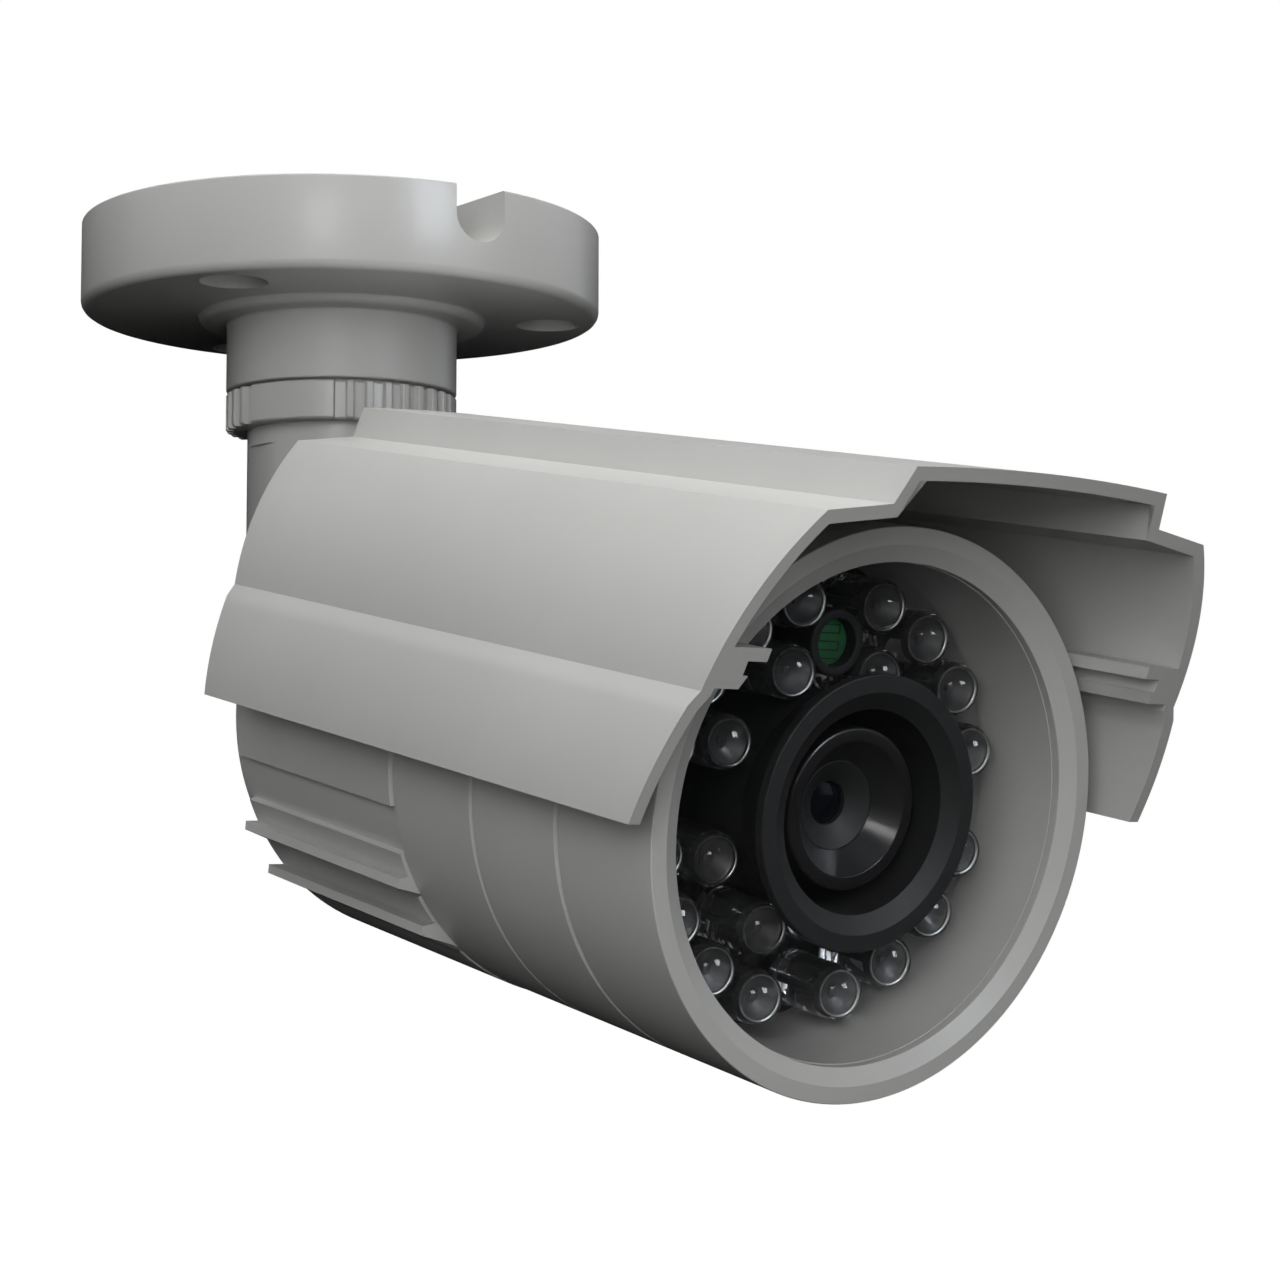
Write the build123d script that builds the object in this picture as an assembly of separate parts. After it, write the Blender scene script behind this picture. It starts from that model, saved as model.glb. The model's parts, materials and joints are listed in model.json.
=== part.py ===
"""Bullet security camera on a three-way ceiling bracket, as separate pieces.

Frame: the origin is the centre of the bracket base's mounting face, +Z points into the ceiling and
the lens looks towards -Y.  The camera's own pieces are drawn in a camera frame, whose origin is the
centre of the front ring, with Y running back along the lens axis, and are then placed on the bracket.
All sizes are in millimetres.
"""
from build123d import *
import os
from math import cos, radians, sin, sqrt, tan

os.makedirs("parts", exist_ok=True)

# ---------------------------------------------------------------- driving dimensions
# Clearances
running_gap = 0.1
part_gap = 0.3
cut_margin = 1.0

# Bracket base
base_radius = 29.4
base_thick = 9.9
base_edge_round = 1.0
base_bead_width = 3.2
base_bead_height = 1.0
base_bead_round = 0.8
base_cavity_wall = 4.95
base_cavity_depth = 5.5
base_screw_inset = 5.8
base_screw_count = 3
base_screw_hole_radius = 2.25
base_countersink_radius = 3.65
base_countersink_depth = 1.8
cable_notch_width = 6.0
cable_notch_depth = 6.0
cable_notch_offset = -0.6
neck_radius = 13.1
neck_length = 7.7
neck_wall = 3.5

# Knurled lock rings
ring_height = 4.2
ring_gap = 0.3
ring_lip = 1.1
ring_wall = 1.35
ring_panel_count = 3
ring_panel_angle = 43.0
ring_first_valley = -124.6
ring_valleys_per_group = 8
ring_valley_share = 0.64
ring_valley_depth = 0.7
thread_gap = 0.15

# Arm with its fork
spigot_length = 11.5
flange_play = 0.55
flange_step = 0.55
flange_height = 1.4
arm_flat_depth = 0.4
collar_height = 3.3
arm_length = 25.1
fork_gap = 10.8
fork_root_gap = 0.9

# Tilt hinge
tilt_down = 10.04
tilt_screw_radius = 2.5
tilt_head_rim = 2.2
tilt_head_height = 2.3
tilt_head_round = 0.75
tilt_nut_wall = 1.5
tilt_nut_height = 2.3
tilt_socket_flats = 3.0
tilt_socket_depth = 1.6
tilt_washer_margin = 2.0
tilt_washer_thick = 0.5
knuckle_margin = 0.65
shank_margin = 2.0
shank_length = 2.15

# Camera housing, along the lens axis from the front ring
ring_radius = 25.0
front_face_y = 0.55
bezel_chamfer = 1.54
bezel_lip_width = 1.54
front_lip_y = 1.3
bezel_end_y = 13.6
tube_end_y = 40.0
tube_groove_y = 26.7
tube_groove_depth = 0.35
tube_groove_lead = 0.1
tube_groove_slope = 1.8
housing_end_y = 69.8
seam_chamfer = 0.5
bezel_wall = 1.5
tube_thread_depth = 0.25
tube_thread_gap = 0.12
tube_spigot_y = 7.1
tube_spigot_wall = 1.15
tube_wall = 1.9
board_ledge_width = 1.8
board_ledge_thick = 2.0
housing_step = 0.1
housing_spigot_wall = 1.48
housing_spigot_length = 7.0
rear_ledge_width = 4.5
rear_ledge_thick = 5.0
recess_depth = 0.65
recess_from = 14.2
recess_to = 25.2
fin_thick = 0.9
fin_taper = 20.5
fin_root_depth = 5.5
rail_fin_top_z = 13.6
rail_fin_reach = 2.254
lower_fins = ((-12.9, 1.37), (-17.45, 1.71))

# Front window and its sleeve
window_thick = 0.9
window_edge_gap = 0.1
seal_section = 0.8
sleeve_step = 0.07
sleeve_lip = 0.55
sleeve_flange_gap = 0.2

# Circuit boards
board_thick = 1.6
led_board_y = 17.6
sensor_board_y = 26.4
power_board_y = 42.0
board_corner_gap = 1.0
board_screw_inset = 2.0
board_screw_radius = 1.2
board_screw_gap = 0.1
board_screw_head_radius = 1.9
board_screw_head_height = 1.0
board_screw_reach = 3.0
standoff_flats = 4.6
video_chip_size = 9.0
video_chip_height = 1.2
connector_width = 12.0
connector_depth = 4.0
connector_height = 4.5
connector_place = 9.0
power_part_x = 5.5
power_part_z = 4.0
capacitor_radius = 4.0
capacitor_height = 9.0
coil_size = 7.0
coil_height = 3.5
ribbon_width = 8.0
ribbon_thick = 0.6
ribbon_drop = 3.6
ribbon_socket_width = 10.0
ribbon_socket_depth = 4.0
ribbon_socket_height = 2.6
ribbon_socket_inset = 2.0

# Infrared lamps and light sensor
lamp_radius = 2.5
lamp_flange_step = 0.15
lamp_tip_y = 7.0
lamp_standoff = 2.0
lamp_flange_height = 1.0
lamp_lead_spacing = 2.54
lamp_lead_radius = 0.3
lamp_wall_gap = 1.3
lamp_hood_gap = 0.15
outer_lamp_angles = (15, 35, 55, 75)
inner_lamp_angles = (24, 66)
sensor_lamp_gap = 0.05
sensor_tube_radius = 3.0
sensor_tube_y = 9.1
cell_radius = 2.1
cell_thick = 2.0
cell_depth = 1.2
cell_ledge_width = 0.6

# Lens, its hood and its mount
hood_bore = 9.0
hood_wall = 0.6
hood_flare = 1.6
hood_rim_width = 1.55
hood_chamfer = 1.0
hood_cone_y = 8.0
hood_socket_y = 15.0
hood_end_y = 20.0
lens_front_y = 4.75
lens_head_gap = 1.8
lens_head_chamfer = 0.3
lens_head_end_y = 9.5
lens_mouth_rim = 1.2
lens_step_width = 2.0
lens_step_y = 6.8
lens_eye_radius = 1.95
lens_eye_y = 8.0
lens_eye_land = 0.5
lens_wall = 1.3
lens_end_gap = 0.4
element_gap = 0.05
element_dome = 0.4
front_element_thick = 2.0
rear_element_thick = 2.5
rear_element_inset = 0.4
lock_ring_step = 0.4
lock_ring_lead = 3.0
lock_ring_height = 2.6
lock_ring_notches = 12
lock_ring_notch_depth = 0.4
lock_ring_notch_width = 1.2
mount_hood_gap = 0.8
mount_wall = 2.2
mount_socket_gap = 1.0
mount_plate_thick = 2.4
mount_ledge_width = 1.0
mount_screw_step = 2.2
mount_screw_radius = 0.9
mount_screw_floor = 0.6
mount_screw_head_radius = 1.6
mount_screw_head_height = 1.0
filter_rim = 0.5
filter_thick = 0.6
filter_rise = 1.0
filter_seat_thick = 0.6
chip_width = 10.0
chip_height = 8.0
chip_thick = 1.6

# Rear cap, cable gland and roll stud
cap_flange_step = 0.9
cap_flange_thick = 2.5
cap_flange_chamfer = 0.6
cap_plug_depth = 3.6
cap_plug_gap = 0.2
cap_boss_radius = 9.5
cap_boss_height = 2.2
cap_boss_fillet = 1.2
cap_screw_inset = 3.0
cap_screw_angles = (45, 135, 225, 315)
cap_screw_radius = 1.25
cap_screw_floor = 1.0
cap_screw_head_radius = 2.4
cap_screw_head_height = 1.5
cap_screw_socket_flats = 2.0
cap_screw_socket_floor = 0.5
gland_radius = 4.5
gland_boss_gap = 1.0
gland_flange_radius = 6.0
gland_flange_thick = 2.0
gland_rim_thick = 1.2
gland_inner_length = 2.2
cable_bore = 2.6
stud_radius = 3.0
stud_flange_width = 3.0
stud_flange_thick = 1.5
stud_end_gap = 1.9

# Sunshield, seen from the front
shield_wall = 1.15
shield_head_gap = 5.5
shield_side_gap = 2.0
shield_crown_rise = 0.55
shield_crown_half = 14.3
shield_step_width = 0.9
shield_step_drop = 3.6
shield_shoulder_width = 5.6
shield_shoulder_drop = 4.55
shield_side_bow = 1.82
shield_side_drop = 11.2
shield_waist_drop = 2.4
shield_waist_width = 0.75
shield_waist_height = 1.2
shield_skirt_bow = 3.85
shield_skirt_mid_drop = 6.2
shield_foot_gap = 4.2
shield_rear_gap = 0.6
shield_front_y = -1.85
shield_front_rake = 0.395
shield_trim = 5.0
rail_slot_gap = 0.15
rail_slot_play = 0.25
rail_upper_overlap = 1.65
rail_lower_overlap = 0.31
rail_lip_thick = 1.1
rail_lip_slope = 0.5
set_screw_from_rear = 14.2
set_screw_radius = 1.5
set_screw_boss_radius = 3.2
set_screw_boss_height = 2.4
set_screw_clearance = 0.35
set_screw_sink = 0.2
set_screw_socket_flats = 1.5
set_screw_socket_depth = 1.5

# ---------------------------------------------------------------- bracket sizes worked out
base_screw_circle = base_radius - base_screw_inset
base_cavity_radius = base_screw_circle - base_countersink_radius - base_cavity_wall
base_bead_radius = neck_radius + base_bead_width
thread_radius = neck_radius - ring_wall - thread_gap
spigot_radius = thread_radius - running_gap - neck_wall
flange_radius = thread_radius + thread_gap - flange_play
arm_radius = flange_radius - flange_step
arm_flat = arm_radius - arm_flat_depth
knuckle_radius = arm_radius - knuckle_margin
knuckle_half = fork_gap / 2 - tilt_washer_thick - running_gap / 2
fork_root = knuckle_radius + fork_root_gap
tilt_washer_radius = knuckle_radius - tilt_washer_margin
shank_radius = knuckle_radius - shank_margin
tilt_head_radius = tilt_screw_radius + tilt_head_rim
tilt_nut_flats = 2 * (tilt_screw_radius + tilt_nut_wall)

neck_end_z = -base_thick - base_bead_height - neck_length
pan_ring_top_z = neck_end_z - ring_gap
pan_ring_low_z = pan_ring_top_z - ring_height
pan_lip_z = pan_ring_low_z + ring_lip
flange_low_z = pan_lip_z + running_gap
flange_top_z = flange_low_z + flange_height
thread_end_z = flange_top_z + running_gap
flats_top_z = flange_low_z - collar_height
pivot_z = flats_top_z - arm_length

# ---------------------------------------------------------------- housing sizes worked out
chamfer_radius = ring_radius - bezel_chamfer
lip_radius = chamfer_radius - bezel_lip_width
bezel_bore = ring_radius - bezel_wall
spigot_outer = bezel_bore + tube_thread_depth
nose_bore = spigot_outer - tube_spigot_wall
tube_bore = ring_radius - tube_wall
board_ledge_radius = nose_bore - board_ledge_width
housing_radius = ring_radius + housing_step
housing_start_y = tube_end_y + running_gap
housing_spigot_radius = tube_bore - tube_thread_gap
housing_bore = housing_spigot_radius - housing_spigot_wall
rear_ledge_radius = housing_bore - rear_ledge_width
rail_fin_tip_x = sqrt(housing_radius ** 2 - rail_fin_top_z ** 2) + rail_fin_reach

sleeve_radius = lip_radius - sleeve_step
sleeve_outer = nose_bore - tube_thread_gap
sleeve_flange_y = tube_spigot_y - sleeve_flange_gap
window_y = front_lip_y
sleeve_y = window_y + window_thick

cap_flange_radius = housing_radius - cap_flange_step
cap_screw_circle = rear_ledge_radius + cap_screw_inset
cap_plug_y = housing_end_y - cap_plug_depth
cap_seal_y = (cap_plug_y + housing_end_y) / 2
cap_rear_y = housing_end_y + cap_flange_thick
cap_boss_y = cap_rear_y + cap_boss_height
cap_head_y = cap_rear_y - cap_screw_head_height - running_gap
cap_screw_end_y = cap_plug_y - rear_ledge_thick + cap_screw_floor
cap_screw_places = [(cap_screw_circle * cos(radians(angle)), cap_screw_circle * sin(radians(angle)))
                    for angle in cap_screw_angles]
gland_drop = cap_boss_radius + gland_radius + gland_boss_gap
stud_flange_radius = stud_radius + stud_flange_width

roll_ring_y = cap_boss_y + ring_gap
shank_front_y = roll_ring_y + ring_height + ring_gap
shank_rear_y = shank_front_y + shank_length
pivot_y = shank_rear_y + part_gap * 2 + arm_radius
stud_end_y = pivot_y - tilt_screw_radius - stud_end_gap
camera_place = Pos(0, 0, pivot_z) * Rot(tilt_down, 0, 0) * Pos(0, -pivot_y, 0)

# ---------------------------------------------------------------- lens, lamp and board sizes worked out
hood_outer = hood_bore + hood_wall
hood_face_radius = hood_bore + hood_flare
hood_front_radius = hood_face_radius + hood_rim_width
mount_tube_radius = hood_bore - mount_hood_gap
mount_tube_y = hood_socket_y + mount_socket_gap
mount_plate_y = sensor_board_y - mount_plate_thick
lens_head_radius = hood_bore - lens_head_gap
lens_mouth_radius = lens_head_radius - lens_mouth_rim
lens_step_radius = lens_mouth_radius - lens_step_width
lens_thread_radius = mount_tube_radius - mount_wall
lens_bore = lens_thread_radius - lens_wall
lock_ring_radius = mount_tube_radius - lock_ring_step
lock_ring_y = mount_tube_y - lock_ring_lead
filter_radius = lens_thread_radius - filter_rim
filter_y = mount_plate_y - filter_rise
mount_ledge_radius = filter_radius - mount_ledge_width
lens_end_y = filter_y - filter_seat_thick - lens_end_gap
chip_y = sensor_board_y - chip_thick
chip_pocket = sqrt(chip_width ** 2 + chip_height ** 2) / 2 + part_gap
mount_screw_x = chip_pocket + mount_screw_step
mount_plate = 2 * (mount_screw_x + mount_screw_head_radius)

board_radius = sleeve_outer - running_gap
led_board_rear_y = led_board_y + board_thick
sensor_board_rear_y = sensor_board_y + board_thick
power_board_rear_y = power_board_y + board_thick
square_board = sqrt(2) * (housing_bore - board_corner_gap)
board_screw_place = square_board / 2 - board_screw_inset
screw_corners = [(sx * board_screw_place, sz * board_screw_place) for sx in (-1, 1) for sz in (-1, 1)]
ribbon_socket_z = -square_board / 2 + ribbon_socket_inset

lamp_flange = lamp_radius + lamp_flange_step
lamp_base_y = led_board_y - lamp_standoff
outer_lamp_circle = sleeve_radius - lamp_radius - lamp_wall_gap
inner_lamp_circle = hood_outer + lamp_flange + lamp_hood_gap
sensor_reach = lamp_flange + sensor_tube_radius + sensor_lamp_gap
sensor_side = inner_lamp_circle * cos(radians(inner_lamp_angles[-1]))
sensor_tube_height = (inner_lamp_circle * sin(radians(inner_lamp_angles[-1]))
                      + sqrt(sensor_reach ** 2 - sensor_side ** 2))

# ---------------------------------------------------------------- sunshield outline worked out
shield_top_z = housing_radius + shield_head_gap
shield_waist = (housing_radius + shield_side_gap, rail_fin_top_z - shield_waist_drop)
shield_top_corner = (shield_crown_half, shield_top_z - shield_crown_rise)
shield_step_foot = (shield_crown_half + shield_step_width, shield_top_z - shield_step_drop)
shield_shoulder = (shield_waist[0] - shield_shoulder_width, shield_top_z - shield_shoulder_drop)
shield_side_mid = (shield_waist[0] - shield_side_bow, shield_top_z - shield_side_drop)
shield_skirt_top = (shield_waist[0] + shield_waist_width, shield_waist[1] - shield_waist_height)
shield_skirt_mid = (housing_radius + shield_skirt_bow, shield_waist[1] - shield_skirt_mid_drop)
shield_skirt_foot = (housing_radius + shield_foot_gap, 0.0)
shield_rear_y = housing_end_y - shield_rear_gap
set_screw_y = shield_rear_y - set_screw_from_rear


# ---------------------------------------------------------------- drawing helpers
def turned(points):
    """Solid of revolution about the lens axis from (radius, y) corners, in the camera frame."""
    return revolve(make_face(Polyline(*points, close=True)), Axis.Y, 360)


def turned_upright(points):
    """Solid of revolution about the vertical axis from (radius, z) corners."""
    return revolve(Plane.XZ * make_face(Polyline(*points, close=True)), Axis.Z, 360)


def tube(outer, inner, y_from, y_to):
    """Plain ring about the lens axis."""
    return turned([(inner, y_from), (outer, y_from), (outer, y_to), (inner, y_to)])


def rod(radius, y_from, y_to, x=0.0, z=0.0):
    """Round bar parallel to the lens axis."""
    return Pos(x, (y_from + y_to) / 2, z) * Rot(90, 0, 0) * Cylinder(radius, y_to - y_from)


def cross_rod(radius, x_from, x_to, y=0.0, z=0.0):
    """Round bar parallel to X."""
    return Pos((x_from + x_to) / 2, y, z) * Rot(0, 90, 0) * Cylinder(radius, x_to - x_from)


def cross_hexagon(flats, x_from, x_to, y=0.0, z=0.0):
    """Hexagonal bar parallel to X, given by its width across flats."""
    hexagon = RegularPolygon(flats / 2, 6, major_radius=False)
    bar = extrude(Plane.YZ * hexagon, x_to - x_from)
    return Pos(x_from, y, z) * bar


def along_hexagon(flats, y_from, y_to, x=0.0, z=0.0):
    """Hexagonal bar parallel to the lens axis, given by its width across flats."""
    hexagon = RegularPolygon(flats / 2, 6, major_radius=False)
    bar = extrude(Plane.XZ * hexagon, y_from - y_to)
    return Pos(x, y_from, z) * bar


def block(x_size, z_size, y_from, y_to, x=0.0, z=0.0):
    """Rectangular block in the camera frame."""
    return Pos(x, (y_from + y_to) / 2, z) * Box(x_size, y_to - y_from, z_size)


def o_ring(centre_radius, section, y):
    """Round-section seal about the lens axis."""
    return revolve(Pos(centre_radius, y) * Circle(section / 2), Axis.Y, 360)


def group(shapes):
    """Several separate solids kept in one node."""
    return Compound([solid for shape in shapes for solid in shape.solids()])


def knurled(ring, radius, low, high):
    """Cut three groups of grip valleys into an upright ring, with a plain panel between them."""
    spacing = 360 / ring_panel_count
    pitch = (spacing - ring_panel_angle) / ring_valleys_per_group
    valley_width = 2 * radius * sin(radians(pitch * ring_valley_share / 2))
    valley = Pos(radius, 0, (low + high) / 2) * Box(
        2 * ring_valley_depth, valley_width, high - low + cut_margin)
    for panel in range(ring_panel_count):
        for index in range(ring_valleys_per_group):
            centre = ring_first_valley + panel * spacing + (index + ring_valley_share / 2) * pitch
            ring -= Rot(0, 0, centre) * valley
    return ring


# ---------------------------------------------------------------- bracket
def mount_base():
    """Round ceiling base with its neck, screw holes, cable notch and the thread for the lock ring."""
    base = turned_upright([
        (base_cavity_radius, 0), (base_radius, 0), (base_radius, -base_thick),
        (base_bead_radius, -base_thick), (base_bead_radius, -base_thick - base_bead_height),
        (neck_radius, -base_thick - base_bead_height), (neck_radius, neck_end_z),
        (thread_radius, neck_end_z), (thread_radius, thread_end_z),
        (spigot_radius + running_gap, thread_end_z), (spigot_radius + running_gap, -base_cavity_depth),
        (base_cavity_radius, -base_cavity_depth)])
    rim = base.edges().filter_by(GeomType.CIRCLE).filter_by(
        lambda edge: abs(edge.radius - base_radius) < running_gap and edge.center().Z < -base_edge_round)
    base = fillet(rim, base_edge_round)
    bead = base.edges().filter_by(GeomType.CIRCLE).filter_by(
        lambda edge: abs(edge.radius - base_bead_radius) < running_gap
        and edge.center().Z < -base_thick - base_bead_height / 2)
    base = fillet(bead, base_bead_round)
    countersink = Pos(0, 0, -base_thick + base_countersink_depth / 2) * Cone(
        base_countersink_radius, base_screw_hole_radius, base_countersink_depth)
    drill = Pos(0, 0, -base_thick / 2) * Cylinder(
        base_screw_hole_radius, base_thick + 2 * cut_margin)
    for index in range(base_screw_count):
        turn = Rot(0, 0, 90 + index * 360 / base_screw_count)
        base -= turn * Pos(base_screw_circle, 0, 0) * (drill + countersink)
    bottom = cable_notch_width / 2 - cable_notch_depth
    reach = base_radius + cut_margin
    channel = Pos(cable_notch_offset, -reach / 2, (bottom + cut_margin) / 2) * Box(
        cable_notch_width, reach, cut_margin - bottom)
    channel += Pos(cable_notch_offset, -reach / 2, bottom) * Rot(90, 0, 0) * Cylinder(
        cable_notch_width / 2, reach)
    web = Pos(0, 0, -base_thick) * Cylinder(base_cavity_radius - part_gap, 3 * base_thick)
    return base - (channel - web)


def pan_lock_ring():
    """Knurled ring that clamps the arm's flange against the neck."""
    ring = turned_upright([
        (thread_radius + thread_gap, pan_ring_top_z), (neck_radius, pan_ring_top_z),
        (neck_radius, pan_ring_low_z), (arm_radius + running_gap, pan_ring_low_z),
        (arm_radius + running_gap, pan_lip_z), (thread_radius + thread_gap, pan_lip_z)])
    return knurled(ring, neck_radius, pan_ring_low_z, pan_ring_top_z)


def bracket_arm():
    """Arm that turns in the neck: spigot, clamped flange, collar, and a fork with flat sides."""
    arm = turned_upright([
        (0, flange_top_z + spigot_length), (spigot_radius, flange_top_z + spigot_length),
        (spigot_radius, flange_top_z), (flange_radius, flange_top_z), (flange_radius, flange_low_z),
        (arm_radius, flange_low_z), (arm_radius, flats_top_z), (0, flats_top_z)])
    column = Pos(0, 0, (flats_top_z + pivot_z - arm_radius) / 2) * Cylinder(
        arm_radius, flats_top_z - pivot_z + arm_radius)
    slab = Pos(0, 0, (flats_top_z + pivot_z) / 2) * Box(
        2 * arm_flat, 2 * arm_radius, flats_top_z - pivot_z)
    slab += cross_rod(arm_radius, -arm_flat, arm_flat, z=pivot_z)
    arm += column & slab
    slot_depth = fork_root + arm_radius + cut_margin
    arm -= Pos(0, 0, pivot_z + fork_root - slot_depth / 2) * Box(fork_gap, 3 * arm_radius, slot_depth)
    arm -= cross_rod(tilt_screw_radius + running_gap, -arm_radius - cut_margin, arm_radius + cut_margin,
                     z=pivot_z)
    arm -= cross_rod(tilt_head_radius + part_gap, -arm_radius - cut_margin,
                     -arm_flat + tilt_head_height + running_gap, z=pivot_z)
    arm -= cross_hexagon(tilt_nut_flats + 2 * running_gap, arm_flat - tilt_nut_height - running_gap,
                         arm_radius + cut_margin, z=pivot_z)
    return arm


def tilt_screw():
    """Clamp screw through the fork, with a hexagon socket in its head."""
    head_end = -arm_flat + tilt_head_height
    head = cross_rod(tilt_head_radius, -arm_flat, head_end, z=pivot_z)
    rim = head.edges().filter_by(GeomType.CIRCLE).sort_by(Axis.X)[0]
    head = fillet(rim, tilt_head_round)
    screw = head + cross_rod(tilt_screw_radius, head_end, arm_flat, z=pivot_z)
    return screw - cross_hexagon(tilt_socket_flats, -arm_flat - cut_margin, -arm_flat + tilt_socket_depth,
                                 z=pivot_z)


def tilt_nut():
    """Hexagon nut held in the fork's other ear."""
    nut = cross_hexagon(tilt_nut_flats, arm_flat - tilt_nut_height, arm_flat, z=pivot_z)
    return nut - cross_rod(tilt_screw_radius + running_gap / 2, 0, arm_radius, z=pivot_z)


def tilt_washers():
    """Friction washers between the fork's ears and the knuckle."""
    outer = fork_gap / 2
    washers = []
    for side in (-1, 1):
        near = side * (outer - tilt_washer_thick)
        far = side * outer
        disc = cross_rod(tilt_washer_radius, min(near, far), max(near, far), z=pivot_z)
        washers.append(disc - cross_rod(tilt_screw_radius + running_gap, -outer, outer, z=pivot_z))
    return group(washers)


def tilt_knuckle():
    """Round tongue between the ears, with a short shank that the camera's stud screws into."""
    tongue = cross_rod(knuckle_radius, -knuckle_half, knuckle_half, y=pivot_y)
    web = rod(shank_radius, shank_rear_y, pivot_y) & block(2 * knuckle_half, 3 * shank_radius,
                                                          shank_rear_y, pivot_y)
    knuckle = tongue + web + rod(shank_radius, shank_front_y, shank_rear_y)
    knuckle -= cross_rod(tilt_screw_radius + running_gap, -arm_radius, arm_radius, y=pivot_y)
    return knuckle - rod(stud_radius + running_gap, shank_front_y - cut_margin, stud_end_y + part_gap)


def roll_lock_ring():
    """Knurled ring on the camera's stud that locks the camera's roll."""
    ring = turned_upright([
        (stud_radius + running_gap, 0), (arm_radius, 0), (arm_radius, ring_height),
        (stud_radius + running_gap, ring_height)])
    ring = knurled(ring, arm_radius, 0, ring_height)
    return Pos(0, roll_ring_y, 0) * Rot(-90, 0, 0) * ring


# ---------------------------------------------------------------- housing
def front_bezel():
    """Front ring that screws onto the tube and holds the window behind its lip."""
    return turned([
        (lip_radius, front_lip_y), (chamfer_radius, front_face_y),
        (ring_radius, front_face_y), (ring_radius, bezel_end_y),
        (spigot_outer + tube_thread_gap, bezel_end_y), (spigot_outer + tube_thread_gap, tube_spigot_y),
        (bezel_bore, tube_spigot_y), (bezel_bore, front_lip_y)])


def front_window():
    """Clear flat window."""
    return rod(bezel_bore - window_edge_gap, window_y, sleeve_y)


def window_seal():
    """Round seal between the window and the sleeve."""
    centre = sleeve_radius + sleeve_lip + seal_section / 2
    return o_ring(centre, seal_section, sleeve_y + seal_section / 2 + running_gap / 2)


def inner_sleeve():
    """Sleeve that presses the window forwards and lines the lamp recess."""
    rebate = sleeve_radius + sleeve_lip
    outer = bezel_bore - window_edge_gap
    return turned([
        (sleeve_radius, sleeve_y), (rebate, sleeve_y), (rebate, sleeve_y + seal_section + running_gap),
        (outer, sleeve_y + seal_section + running_gap), (outer, sleeve_flange_y),
        (sleeve_outer, sleeve_flange_y), (sleeve_outer, led_board_y - running_gap),
        (sleeve_radius, led_board_y - running_gap)])


def front_tube():
    """Smooth front half of the housing, with a turned line, a threaded nose and a board ledge."""
    start = bezel_end_y + running_gap
    ledge_end = led_board_rear_y + board_ledge_thick
    body = turned([
        (nose_bore, tube_spigot_y + running_gap), (spigot_outer, tube_spigot_y + running_gap),
        (spigot_outer, start), (ring_radius - seam_chamfer, start), (ring_radius, start + seam_chamfer),
        (ring_radius, tube_end_y), (tube_bore, tube_end_y), (tube_bore, ledge_end),
        (board_ledge_radius, ledge_end), (board_ledge_radius, led_board_rear_y),
        (nose_bore, led_board_rear_y)])
    line = turned([
        (ring_radius - tube_groove_depth, tube_groove_y),
        (ring_radius + cut_margin, tube_groove_y - tube_groove_lead),
        (ring_radius + cut_margin, tube_groove_y + tube_groove_slope)])
    return body - line


def fin(top_z, reach, side):
    """Longitudinal fin with a flat top face, a square tip and a tapered lower face."""
    tip_x = sqrt(housing_radius ** 2 - top_z ** 2) + reach
    root_x = tip_x - fin_root_depth
    low_z = top_z - fin_thick
    root_z = low_z - (tip_x - root_x) * tan(radians(fin_taper))
    outline = make_face(Polyline((side * root_x, top_z), (side * tip_x, top_z), (side * tip_x, low_z),
                                 (side * root_x, root_z), close=True))
    return Pos(0, housing_start_y, 0) * extrude(Plane.XZ * outline, housing_start_y - housing_end_y)


def rear_housing():
    """Rear half of the housing, with side recesses, lower fins and the two fins the shield rides on."""
    start = housing_start_y
    spigot = housing_spigot_radius
    reach = 2 * housing_radius
    body = rod(housing_radius, start, housing_end_y)
    edge = body.edges().filter_by(GeomType.CIRCLE).sort_by(Axis.Y)[0]
    body = chamfer(edge, seam_chamfer)
    for side in (-1, 1):
        wedge = make_face(Polyline(
            (0, 0), (side * reach * cos(radians(recess_from)), -reach * sin(radians(recess_from))),
            (side * reach * cos(radians(recess_to)), -reach * sin(radians(recess_to))), close=True))
        cutter = Pos(0, start, 0) * extrude(Plane.XZ * wedge, -(housing_end_y - start))
        body -= cutter - rod(housing_radius - recess_depth, start - cut_margin, housing_end_y + cut_margin)
        for top_z, fin_reach in lower_fins + ((rail_fin_top_z, rail_fin_reach),):
            body += fin(top_z, fin_reach, side)
    body += rod(spigot, start - housing_spigot_length, start)
    groove_y = start - housing_spigot_length / 2
    groove_half = seal_section / 2 + running_gap
    body -= tube(spigot + cut_margin, spigot - seal_section - running_gap, groove_y - groove_half,
                 groove_y + groove_half)
    ledge_y = cap_plug_y - rear_ledge_thick
    body -= rod(housing_bore, start - housing_spigot_length - cut_margin, ledge_y)
    body -= rod(rear_ledge_radius, ledge_y - cut_margin, cap_plug_y + cut_margin)
    body -= rod(tube_bore, cap_plug_y, housing_end_y + cut_margin)
    body -= rod(gland_radius + part_gap, ledge_y - cut_margin, cap_plug_y + cut_margin, z=-gland_drop)
    for x, z in cap_screw_places:
        body -= rod(cap_screw_radius + running_gap / 2, cap_screw_end_y - part_gap,
                    cap_plug_y + cut_margin, x, z)
    return body


def housing_seal():
    """Seal between the tube and the rear housing."""
    return o_ring(housing_spigot_radius - seal_section / 2, seal_section,
                  housing_start_y - housing_spigot_length / 2)


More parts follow.
